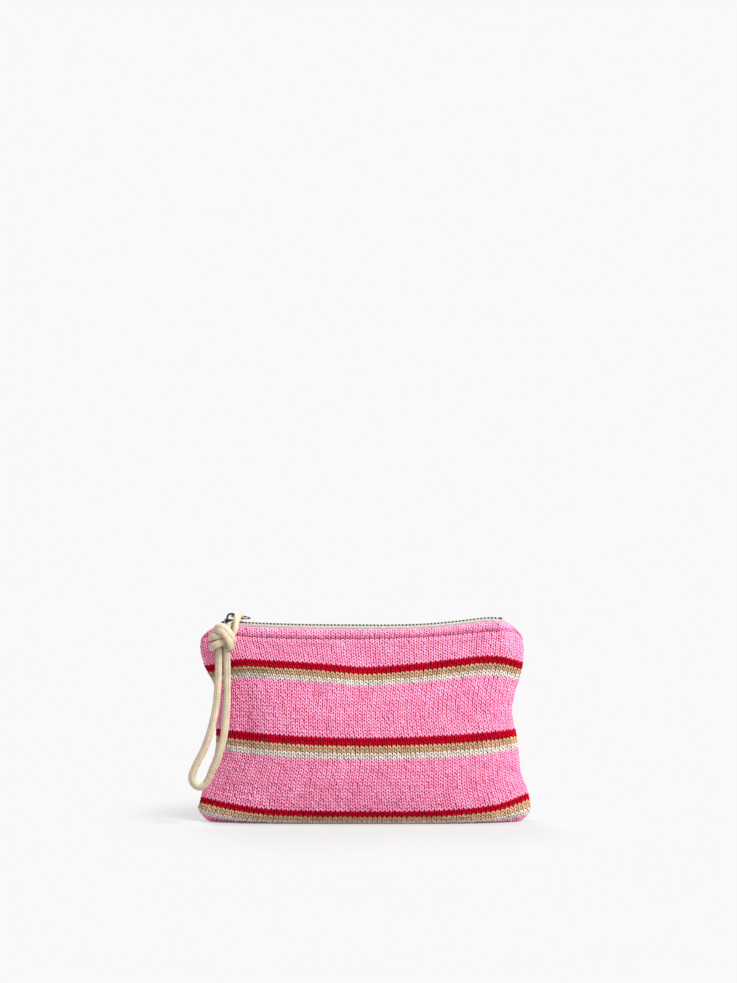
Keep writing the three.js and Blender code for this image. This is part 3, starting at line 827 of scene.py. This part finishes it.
def cloth_strip(name, lines, thickness, finish):
    """A strip with a thickness; lines holds the strip's middle as rows of points, row after row."""
    lines = np.asarray(lines)
    step = np.gradient(lines, axis=0)
    turned = unit(np.stack([np.zeros_like(step[..., 0]), -step[..., 2], step[..., 1]], axis=-1))
    above = lines + turned * thickness / 2
    below = lines - turned * thickness / 2
    ring = np.concatenate([above, below[::-1]])
    rows, columns = ring.shape[:2]
    faces = grid_faces(rows, columns, wrap_rows=True)
    for j in range(rows // 2 - 1):
        edge = [j, j + 1, rows - 2 - j, rows - 1 - j]
        faces.append([k * columns for k in edge])
        faces.append([k * columns + columns - 1 for k in edge[::-1]])
    run = np.cumsum(np.linalg.norm(step, axis=2), axis=0)
    run = np.concatenate([run, run[::-1]])
    layout = np.stack([ring[..., 0], run], axis=-1).reshape(-1, 2)
    piece = make_piece(name, ring.reshape(-1, 3), faces, [finish], uv=layout)
    piece.data.set_sharp_from_angle(angle=math.radians(50))
    return piece


slider_x = -97.4
slider_nose = 5
slider_tail = 3.6
chain_start_x = -102.2
chain_end_x = 97.5


def spread(x):
    """How far each row of teeth stands off the closed chain, inside the slider."""
    return 1.9 * (1 - ease(x, slider_x - slider_nose - 0.5, slider_x + slider_tail))


# How far the tape and lining lie inside the knit's outside, and how far up the tape is sewn in
tape_inset = 2.85
lining_inset = 2.95
lining_thickness = 0.7
sewn_in = (0.945, 0.965, 0.985, 1)
# The tape from its fold to the teeth, as places out from the zip's middle and up
tape_fold = (
    (6.4, -1.1), (6.36, -0.72), (6.2, -0.38), (5.95, -0.14),
    (5.6, -0.02), (5.2, 0), (4.2, 0), (3.2, 0),
)


def crossing(count, angle, reach=1):
    """Shares across the whole pouch, closer together towards its sides."""
    return np.sin(np.linspace(-1, 1, count) * angle) * reach


def half_crossing(hand, count, angle, reach=1):
    """The same over one half of the pouch, from left to right."""
    return np.sort(hand * np.sin(np.linspace(0, 1, count) * angle) * reach)


def body_lines(side, across, ups, below):
    return [body_point(side, across, np.full_like(across, up), below) for up in ups]


def tape_lines(side, across):
    """The middle of one tape, from inside the knit, up over its fold and in to the teeth."""
    lines = body_lines(side, across, sewn_in, tape_inset)
    half = top_half_width(across)
    at_top = np.ones_like(across)
    x = across * (half - tape_inset)
    narrowing = fullness(across, at_top) * (0.25 + 0.75 * openness(across, at_top))
    top = zip_height(across * half) - top_corner_drop(across)
    parting = spread(x) - 2.3 * ease(x, chain_end_x - 2, chain_end_x + 1)
    for outward, upward in tape_fold:
        at_chain = (outward, upward) == tape_fold[-1]
        y = side * (seam_half_gap + (outward + (parting if at_chain else 0)) * narrowing)
        lines.append(np.stack([x, y, top + upward], axis=-1))
    return np.stack(lines)


def zip_tapes():
    angle = math.asin(0.947)
    lines = tape_lines(-1, crossing(161, angle))
    piece = cloth_strip("tape_front_cloth", lines, tape_thickness, zip_tape_cloth)
    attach(piece, "pouch")
    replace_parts(piece, "tape_front", "tape_front_slider_end", "tape_front_stop_end")
    for hand, label, ends in halves:
        lines = tape_lines(1, half_crossing(hand, 81, angle))
        piece = cloth_strip(f"tape_back_{label}_half", lines, tape_thickness, zip_tape_cloth)
        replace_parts(piece, "tape_back", f"tape_back_{ends}")
        bows_with_mouth(piece)


def lining():
    ups = np.linspace(0.02, 0.955, 26)
    reach = 0.998
    whole = crossing(81, math.pi / 2, reach)
    inside = body_lines(-1, whole, ups, lining_inset)
    piece = cloth_strip("lining_front_cloth", inside, lining_thickness, lining_cloth)
    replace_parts(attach(piece, "pouch"), "lining_front")
    for hand, label, _ in halves:
        half = half_crossing(hand, 41, math.pi / 2, reach)
        inside = body_lines(1, half, ups, lining_inset)
        piece = cloth_strip(f"lining_back_{label}_half", inside, lining_thickness, lining_cloth)
        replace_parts(piece, "lining_back")
        bows_with_mouth(piece)
    edge = body_point(1, whole, np.full_like(whole, 0.02), 3.6)
    inside = []
    for share in np.linspace(-1, 1, 9):
        height = lower_edge(whole) + 3.1 - 0.4 * (1 - share**2)
        inside.append(np.stack([edge[:, 0] * 0.985, edge[:, 1] * share, height], axis=-1))
    piece = cloth_strip("lining_base_cloth", inside, lining_thickness, lining_cloth)
    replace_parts(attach(piece, "pouch"), "lining_base")


zip_tapes()
lining()


# The chain: bevelled teeth clamped on the corded edge of each tape
tooth_pitch = 2.6
tooth_thickness = 2.7
tooth_bevel = 0.18
cord_half_width = 0.6
cord_half_height = 1.3
cord_reach = -2.35
chain_roll = 0.13
tooth_reach = 2.9
row_clearance = 0.4
# One side of a tooth, from its clamped back to its tip
tooth_side = (
    (0.4, -tooth_reach), (0.7, -2.78), (0.76, -2.2), (0.56, -1.5), (0.38, -0.9),
    (0.45, -0.4), (0.58, 0.1), (0.54, 0.5), (0.3, 0.8),
)


def tooth_shape():
    """One tooth about its middle: x along the chain and y towards the other row."""
    right = np.array(tooth_side)
    outline = np.concatenate([right, right[::-1] * (-1, 1)])
    centre = np.array([0, -1.1])
    small = centre + (outline - centre) * (0.82, 0.94)
    half = tooth_thickness / 2 * (1 - 0.36 * ease(outline[:, 1], -1.2, -0.3))
    rings = [(small, -half), (outline, tooth_bevel - half), (outline, half - tooth_bevel), (small, half)]
    points = np.concatenate([np.column_stack([flat, height]) for flat, height in rings])
    return points, closed_rings(len(rings), len(outline))


def tooth_places(side):
    first = math.ceil(chain_start_x / tooth_pitch)
    last = math.floor(chain_end_x / tooth_pitch) + 1
    places = [k * tooth_pitch + side * tooth_pitch / 4 for k in range(first, last + 1)]
    return [x for x in places if chain_start_x + 0.75 < x < chain_end_x - 0.75]


def on_zip(points, side):
    """Bend a straight row along the zip, parted inside the slider and rolled a little to the front."""
    x, reach, height = points.T
    height = height + chain_roll * side * reach + zip_height(x)
    return np.column_stack([x, side * (spread(x) - reach), height])


def teeth_row(name, side, low, high):
    """The teeth between two places on the zip, and the cord they are clamped on."""
    tooth, tooth_faces = tooth_shape()
    places = [x for x in tooth_places(side) if low < x <= high]
    parts = [(on_zip(tooth + (x, 0, 0), side), tooth_faces) for x in places]
    run = np.arange(places[0] - 1.2, places[-1] + 1.3, 1.3)
    turn = full_turn(8)
    beads = 1 + 0.08 * np.cos((run - side * tooth_pitch / 4) * 2 * math.pi / tooth_pitch)
    oval = np.stack([cord_half_width * np.cos(turn), cord_half_height * np.sin(turn)], axis=-1)
    path = np.column_stack([run, np.full(len(run), cord_reach), np.zeros(len(run))])
    cord, cord_faces = swept(path, (0, 1, 0), (0, 0, 1), oval[None] / beads[:, None, None])
    parts.append((on_zip(cord, side), cord_faces))
    points, faces = together(parts)
    finish = np.zeros(len(faces), int)
    finish[-len(cord_faces):] = 1
    finishes = [tooth_metal, zip_tape_cloth]
    piece = make_piece(name, points, faces, finishes, finish, uv=points[:, :2], smooth=False)
    return piece


def zip_chain():
    piece = teeth_row("teeth_front_row", -1, chain_start_x, chain_end_x)
    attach(piece, "pouch")
    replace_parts(piece, "teeth_front", "teeth_front_slider_end", "teeth_front_stop_end")
    for hand, label, ends in halves:
        low = chain_start_x if hand < 0 else 0
        high = 0 if hand < 0 else chain_end_x
        piece = teeth_row(f"teeth_back_{label}_half", 1, low, high)
        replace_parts(piece, "teeth_back", f"teeth_back_{ends}")
        bows_with_mouth(piece)


# The stops: pressed metal clips at the ends of the chain
top_stop_length = 1.9
top_stop_half_height = 1.25
top_stop_reach_in = 0.8
top_stop_reach_out = 2.3
bottom_stop_length = 2.8
bottom_stop_half_width = 2.4
bottom_stop_half_height = 1.35
stop_gap = 0.3


def stop_clip(stop, low, high, rounding):
    """A block between two corners with rounded edges, in place of one of the stops."""
    low = np.asarray(low, float)
    high = np.asarray(high, float)
    corners = np.array([(x, y, z) for x in (0, 1) for y in (0, 1) for z in (0, 1)])
    faces = [[0, 1, 3, 2], [4, 6, 7, 5], [0, 4, 5, 1], [2, 3, 7, 6], [0, 2, 6, 4], [1, 5, 7, 3]]
    piece = make_piece(f"{stop}_clip", low + (high - low) * corners, faces, [tooth_metal])
    round_edges(piece, rounding)
    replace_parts(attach(piece, "pouch"), stop)


def zip_stops():
    out = float(spread(chain_start_x))
    height = float(zip_height(chain_start_x))
    x = chain_start_x - stop_gap
    for side, label in ((-1, "front"), (1, "back")):
        inner = side * (seam_half_gap + out - top_stop_reach_in)
        near, far = sorted((inner, side * (out + top_stop_reach_out)))
        low = (x - top_stop_length, near, height - top_stop_half_height)
        high = (x, far, height + top_stop_half_height)
        stop_clip(f"top_stop_{label}", low, high, 0.45)
    x = chain_end_x + stop_gap
    height = float(zip_height(x))
    low = (x, -bottom_stop_half_width, height - bottom_stop_half_height)
    high = (x + bottom_stop_length, bottom_stop_half_width, height + bottom_stop_half_height)
    stop_clip("bottom_stop", low, high, 0.5)


zip_chain()
zip_stops()


# The slider: two plates with turned-in walls, a wedge between them and an arch on top
cavity_half_height = tooth_thickness / 2 + row_clearance
plate_thickness = 1
slider_roof = cavity_half_height + plate_thickness
slider_wall = 0.5
wall_half_gap = 0.75
wall_overlap = 0.2
wedge_length = 1.9
arch_half_length = 3.8
arch_height = 4.8
arch_width = 2.8
arch_wall = 1.6


def zip_slope(x):
    return math.asin((x - zip_low_x) / zip_radius)


def tilted(points, angle):
    """Turn points about the Y axis, nose up for a positive angle."""
    x, y, z = points.T
    along = x * math.cos(angle) - z * math.sin(angle)
    return np.column_stack([along, y, x * math.sin(angle) + z * math.cos(angle)])


def prism(outline, low, high):
    points = [np.column_stack([outline, np.full(len(outline), float(z))]) for z in (low, high)]
    return np.concatenate(points), closed_rings(2, len(outline))


def slider_half_width(t, wall):
    """Half the slider's width at t along it, to the outside of a wall this thick."""
    return tooth_reach + spread(slider_x + t) + row_clearance + wall


def slider_plan():
    t = np.linspace(-slider_nose, slider_tail, 15)
    half = slider_half_width(t, slider_wall)
    rounding = np.minimum(1, np.sqrt(np.clip((t + slider_nose) / 1.6, 0, 1)) * 0.55 + 0.45)
    tail = np.minimum(1, np.sqrt(np.clip((slider_tail - t) / 1.2, 0, 1)) * 0.3 + 0.7)
    front = np.column_stack([t, half * rounding * tail])
    back = front[::-1] * (1, -1)
    return np.concatenate([front, back, [(-slider_nose + 1.2, 0)]])[::-1]


def wall_plan(side):
    t = np.linspace(-slider_nose + 0.5, slider_tail - 0.3, 12)
    outer = np.column_stack([t, side * slider_half_width(t, slider_wall)])
    inner = np.column_stack([t, side * slider_half_width(t, 0)])
    return np.concatenate([outer, inner[::-1]])[:: -side]


def wedge_plan():
    """The wedge that parts the two rows of teeth, behind the nose."""
    start = -slider_nose + 1.3
    end = start + wedge_length
    half = [float(spread(slider_x + t)) - 1.1 for t in (start, end)]
    return [(start, -half[0]), (end, -half[1]), (end, half[1]), (start, half[0])]


def arch_shape():
    """The arch that holds the pull loop: a flat bar bent over, wider at its feet."""
    turn = np.linspace(0, math.pi, 25)
    x = (arch_half_length - arch_wall / 2) * np.cos(turn)
    z = (arch_height - arch_wall / 2) * np.sin(turn) ** 0.6
    path = np.column_stack([x, np.zeros_like(x), z + slider_roof])
    path[0, 2] = path[-1, 2] = slider_roof - 0.2
    across = (0, 1, 0)
    out = np.cross(unit(np.gradient(path, axis=0)), across)
    corner = np.radians(np.arange(0, 360, 30) + 15)
    square = np.stack([np.cos(corner), np.sin(corner)], axis=-1)
    square = np.sign(square) * np.abs(square) ** 0.55
    wide = arch_width / 2 * (1 + 0.25 * np.abs(np.cos(turn)) ** 3)
    section = square[None] * np.stack([wide, np.full_like(wide, arch_wall / 2)], axis=-1)[:, None]
    return swept(path, across, out, section)


def zip_slider():
    inner_top = cavity_half_height + wall_overlap
    parts = [
        prism(slider_plan(), cavity_half_height, slider_roof),
        prism(slider_plan(), -slider_roof, -cavity_half_height),
    ]
    for side in (-1, 1):
        parts.append(prism(wall_plan(side), wall_half_gap, inner_top))
        parts.append(prism(wall_plan(side), -inner_top, -wall_half_gap))
    parts.append(prism(wedge_plan(), -inner_top, inner_top))
    seat = np.array([slider_x, 0, float(zip_arc(slider_x))])
    angle = zip_slope(slider_x)
    points, faces = together(parts)
    body = make_piece("zip_slider_body", tilted(points, angle) + seat, faces, [nickel])
    round_edges(body, 0.28)
    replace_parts(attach(body, "slider"), "slider")
    points, faces = arch_shape()
    arch = make_piece("zip_slider_arch", tilted(points, angle) + seat, faces, [nickel])
    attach(arch, "slider")


# The pull loop: one oval of wire whose end bar passes under the arch
pull_wire = 1.4
pull_length = 13.2
pull_width = 8.4
pull_hinge_x = slider_x + 0.6
pull_hinge_rise = 5.2
pull_hinge_z = float(zip_arc(pull_hinge_x)) + pull_hinge_rise
pull_dip = 0.065 - zip_slope(pull_hinge_x)
pull_roll = math.radians(6)


def pull_loop():
    turn = full_turn(64)
    straight = (pull_length - pull_width) / 2
    side = np.sign(np.cos(turn)) * np.abs(np.cos(turn)) ** 0.9
    x = pull_width / 2 * side + straight * np.tanh(6 * np.cos(turn)) + pull_length / 2
    path = np.column_stack([x, pull_width / 2 * np.sin(turn), np.zeros_like(x)])
    along = unit(np.roll(path, -1, axis=0) - np.roll(path, 1, axis=0))
    up = (0, 0, 1)
    around = full_turn(12)
    section = np.stack([np.cos(around) * pull_wire / 2, np.sin(around) * pull_wire * 0.36], axis=-1)
    rings = rings_on(path, np.cross(up, along), up, section)
    rings[..., 2] += rings[..., 1] * math.tan(pull_roll)
    faces = grid_faces(len(path), len(around), wrap_rows=True, wrap_columns=True)
    points = tilted(rings.reshape(-1, 3), -pull_dip) + (pull_hinge_x, 0, pull_hinge_z)
    piece = make_piece("pull_loop_wire", points, faces, [nickel])
    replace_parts(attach(piece, "pull"), "pull_loop")


zip_slider()
pull_loop()


# The strap: one soft leather cord, doubled over the pull loop, knotted and hanging as a loop
strap_diameter = 5.4
strap_y = -17.85
knot_centre = np.array([-102.1, strap_y, 135.9])
# The hanging loop seen from the front, from one strand of the knot round to the other
loop_route = (
    (-104.9, 130.2), (-104.9, 124.5), (-105.1, 118.9), (-105.3, 108.8), (-106, 97.2), (-107.1, 85.6),
    (-109.1, 75.5), (-111.8, 65.4), (-115.5, 55.2), (-119.9, 46.5), (-123.2, 39.3), (-124.5, 34.2),
    (-123, 29.9), (-119.5, 27.6), (-115.6, 28.9), (-112.9, 32.4), (-110.3, 37.8), (-106.7, 45.5),
    (-104, 53.8), (-101.5, 63.9), (-100, 77), (-99.3, 90), (-99.2, 101.6), (-99.3, 113.2),
    (-99.5, 121.8), (-99.7, 130.2),
)
# The two strands through the knot, from the hanging loop up to the pull loop
left_strand = (
    (-104.9, -17.85, 122), (-105.1, -17.4, 126), (-105.8, -16.6, 130.5), (-107.2, -16.2, 135.6),
    (-107.8, -17.8, 140), (-106, -20, 142.7), (-102.8, -21.4, 143.3), (-99.6, -21.9, 141.5),
    (-97.1, -21.8, 138.3), (-95.4, -20.2, 135), (-94.7, -16.9, 132.6), (-96.2, -13.8, 131.4),
    (-100.5, -12.9, 131.6), (-106, -13.4, 132.8), (-110.3, -16, 134.4), (-109.8, -19.4, 135.7),
    (-106.4, -21, 136.8), (-102.9, -19.8, 137.3), (-100.4, -17, 138.6), (-98.8, -14.8, 141),
    (-97.2, -12.6, 143.3), (-95.2, -10.2, 144.9), (-93, -7.4, 146),
)
right_strand = (
    (-99.7, -17.85, 122), (-99.8, -17.5, 125), (-100.5, -16.9, 129.5), (-102.4, -16.6, 133.6),
    (-104.9, -17.9, 137.3), (-106, -20.3, 139.9), (-103.9, -22.2, 140.9), (-101, -22.8, 138.8),
    (-98.6, -22.7, 135.4), (-96.9, -22, 131.6), (-96.2, -19.2, 128.1), (-97.6, -15.5, 126.2),
    (-101.5, -13.4, 126.1), (-106, -14, 126.6), (-109.7, -16.8, 127.5), (-109.7, -20, 128.7),
    (-106.4, -21.5, 130.6), (-102.8, -20.6, 132.4), (-99.2, -18.6, 134), (-96, -17.6, 136.2),
    (-94.1, -17.4, 139.4), (-93.2, -16.2, 143.2), (-92.6, -13.6, 146.9), (-92, -10.4, 149.6),
    (-91.5, -7.4, 151),
)
wire_y = -pull_width / 2
bight_x = slider_x + slider_tail + 0.3 + strap_diameter / 2
wire_z = pull_hinge_z - (bight_x - pull_hinge_x) * math.tan(pull_dip)
bight_half_thickness = 1.35
wire_clearance = 0.2
loop_lean = 4
crease_places = (6, 9.5, 13.5)
loop_step = 1.1
strand_step = 0.8


def strap_profile(path, half_width, half_thickness, seam, pressed=1):
    """A soft round section with a fine seam at an angle round it, pressed in by this share."""
    near_seam = seam + np.array([-0.34, -0.22, -0.13, -0.06, 0, 0.06, 0.13, 0.22, 0.34])
    plain = full_turn(18) + seam + math.pi
    plain = plain[np.abs((plain - seam + math.pi) % (2 * math.pi) - math.pi) > 0.45]
    around = np.sort(np.concatenate([near_seam, plain]) % (2 * math.pi))
    off = (around - seam + math.pi) % (2 * math.pi) - math.pi
    pressed = np.broadcast_to(pressed, len(path))[:, None]
    radius = 1 - pressed * (0.15 * hump(off, 0, 0.08) - 0.045 * hump(off, 0.2, 0.12))
    shape = radius[..., None] * np.stack([np.cos(around), np.sin(around)], axis=-1)
    shape = np.sign(shape) * np.abs(shape) ** (1.1 - 0.18 * pressed[..., None])
    return shape * np.stack([half_width, half_thickness], axis=-1)[:, None]


def carried_frames(path, first_out):
    """Directions across and out of a path, turned as little as possible along it."""
    along = unit(np.gradient(path, axis=0))
    out = np.zeros_like(path)
    current = np.asarray(first_out, float)
    for k, direction in enumerate(along):
        current = current - direction * (current @ direction)
        current = current / np.linalg.norm(current)
        out[k] = current
    return np.cross(out, along), out


def strap_piece(name, path, across, out, section):
    points, faces = swept(path, across, out, section)
    piece = make_piece(name, points, faces, [strap_leather], uv=tube_uv(path, section.shape[1]))
    return piece


def hanging_loop():
    points = [(x, strap_y - loop_lean * ease(122 - z, 0, 80), z) for x, z in loop_route]
    path = smooth_path(points, loop_step)
    across, out = carried_frames(path, (0, -1, 0))
    run = run_along(path)
    middle = run[-1] / 2
    crease = 0.12 * sum(hump(run, middle + place, 0.9) for place in crease_places)
    width = strap_diameter / 2 * (1 - 0.5 * crease)
    thickness = strap_diameter / 2 * (1 - crease - 0.06 * hump(run, middle, 9))
    tucked = 1 - 0.3 * (1 - ease(np.minimum(run, run[-1] - run), 0.5, 4))
    section = strap_profile(path, width * tucked, thickness * tucked, seam=1.9)
    piece = strap_piece("strap_hanging_loop", path, across, out, section)
    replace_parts(piece, "strap_loop")
    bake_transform(piece)
    return piece, path


def square_to(along, out):
    """Directions out of a path, turned square to the way it runs."""
    return unit(out - along * np.sum(out * along, axis=1, keepdims=True))


def knotted_strand():
    """The rest of the same cord: up one strand, over the pull loop's wire and down the other."""
    away = pull_wire / 2 + wire_clearance + bight_half_thickness
    around_wire = []
    for turn in np.radians((-90, -45, 0, 50, 100, 135)):
        around_wire.append((bight_x, wire_y + away * math.cos(turn), wire_z + away * math.sin(turn)))
    path = smooth_path([*left_strand, *around_wire, *right_strand[::-1]], strand_step)
    radial = unit((path - knot_centre) * (1, 1.5, 0.6))
    from_wire = path - (bight_x, wire_y, wire_z)
    near_wire = (1 - ease(np.linalg.norm(from_wire, axis=1), 4, 11))[:, None]
    out = unit(radial * (1 - near_wire) + unit(from_wire * (0, 1, 1)) * near_wire)
    along = unit(np.gradient(path, axis=0))
    out = square_to(along, out)
    for _ in range(6):
        out[1:-1] = unit(out[:-2] + out[1:-1] * 2 + out[2:])
        out = square_to(along, out)
    run = np.linspace(0, 1, len(path))
    at_wire = near_wire[:, 0]
    from_end = np.minimum(run, 1 - run) * len(path) * strand_step
    inside_loop = 1 - 0.25 * (1 - ease(from_end, 3, 8))
    ends = 1 - ease(from_end, 8, 14)
    half_width = (2.8 - 0.35 * at_wire) * inside_loop
    half_thickness = (2.15 + 0.5 * ends - 0.8 * at_wire) * inside_loop
    pressed = 1 - ease(at_wire, 0.05, 0.5)
    section = strap_profile(path, half_width, half_thickness, seam=0.64, pressed=pressed)
    piece = strap_piece("strap_knotted_strand", path, np.cross(out, along), out, section)
    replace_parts(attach(piece, "knot"), "strap_knot", "strap_bight")
    return piece


loop_piece, loop_path = hanging_loop()
knot_piece = knotted_strand()


# Floor, backdrop and light
paper_white = (0.947, 0.947, 0.947, 1)
lamp_target = (0, 0, 0.07)


def grey(level):
    return (level, level, level)


def floor():
    """Paper that shows plain white away from the pouch, and keeps its shadow near it."""
    material, tree, shader = new_material("pale_floor")
    place = object_place(tree)
    rays = node(tree, "ShaderNodeLightPath").outputs["Is Camera Ray"]
    tone = mixed(tree, noise(tree, place, 6, 2), grey(0.59), grey(0.61))
    seen = mixed(tree, rays, tone, grey(0.44))
    put_in(tree, shader, {"Base Color": seen, "Roughness": 0.9, "Specular IOR Level": 0.1})
    glow = node(tree, "ShaderNodeEmission", {"Color": paper_white})
    distance = node(tree, "ShaderNodeVectorMath", {0: place}, operation="LENGTH").outputs["Value"]
    # The white comes in with the distance from the middle, and least of all where the pouch stands
    smooth = {"interpolation_type": "SMOOTHSTEP"}
    share = sum_of(tree, "MULTIPLY", ramp(tree, distance, 0.12, 0.2, 0.6, **smooth), rays)
    axes = node(tree, "ShaderNodeSeparateXYZ", {0: place}).outputs
    beside = ramp(tree, sum_of(tree, "ABSOLUTE", axes["X"]), 0.106, 0.118, 0.3, **smooth)
    before = ramp(tree, sum_of(tree, "ABSOLUTE", axes["Y"]), 0.018, 0.031, 0.3, **smooth)
    share = sum_of(tree, "MULTIPLY", share, sum_of(tree, "MAXIMUM", beside, before))
    mix = node(tree, "ShaderNodeMixShader", {0: share, 1: shader.outputs[0], 2: glow.outputs[0]})
    put_in(tree, tree.get_output_node("ALL"), {"Surface": mix.outputs[0]})
    half = 4000
    points = [(-half, -half, 0), (half, -half, 0), (half, half, 0), (-half, half, 0)]
    piece = make_piece("floor", points, [[0, 1, 2, 3]], [material])


def backdrop_light():
    """Even soft light on the pouch, and paper white where the world itself is seen."""
    world = bpy.data.worlds.new("studio")
    bpy.context.scene.world = world
    world.use_nodes = True
    tree = world.node_tree
    tree.nodes.clear()
    seen = node(tree, "ShaderNodeBackground", {"Color": paper_white})
    soft = node(tree, "ShaderNodeBackground", {"Color": (1, 1, 1, 1), "Strength": 0.22})
    rays = node(tree, "ShaderNodeLightPath").outputs
    plain = sum_of(tree, "MAXIMUM", rays["Is Camera Ray"], rays["Is Glossy Ray"])
    plain = sum_of(tree, "MAXIMUM", plain, rays["Is Transmission Ray"])
    mix = node(tree, "ShaderNodeMixShader", {0: plain, 1: soft.outputs[0], 2: seen.outputs[0]})
    node(tree, "ShaderNodeOutputWorld", {"Surface": mix.outputs[0]})


def soft_lamp(name, place, size, watts):
    lamp = bpy.data.lights.new(name, "AREA")
    lamp.shape = "DISK"
    lamp.size = size
    lamp.energy = watts
    piece = bpy.data.objects.new(name, lamp)
    bpy.context.scene.collection.objects.link(piece)
    piece.location = place
    direction = unit(np.subtract(lamp_target, place))
    tip = math.atan2(math.hypot(direction[0], direction[1]), -direction[2])
    piece.rotation_euler = (tip, 0, math.atan2(direction[1], direction[0]) - math.pi / 2)


floor()
backdrop_light()
soft_lamp("key_right", (1.15, -0.75, 1.5), size=0.9, watts=75)
soft_lamp("back_left", (-0.45, 0.95, 1.45), size=1.0, watts=22)
soft_lamp("fill_left", (-1.7, -0.4, 0.7), size=1.2, watts=8)
bpy.context.scene.view_settings.view_transform = "Standard"
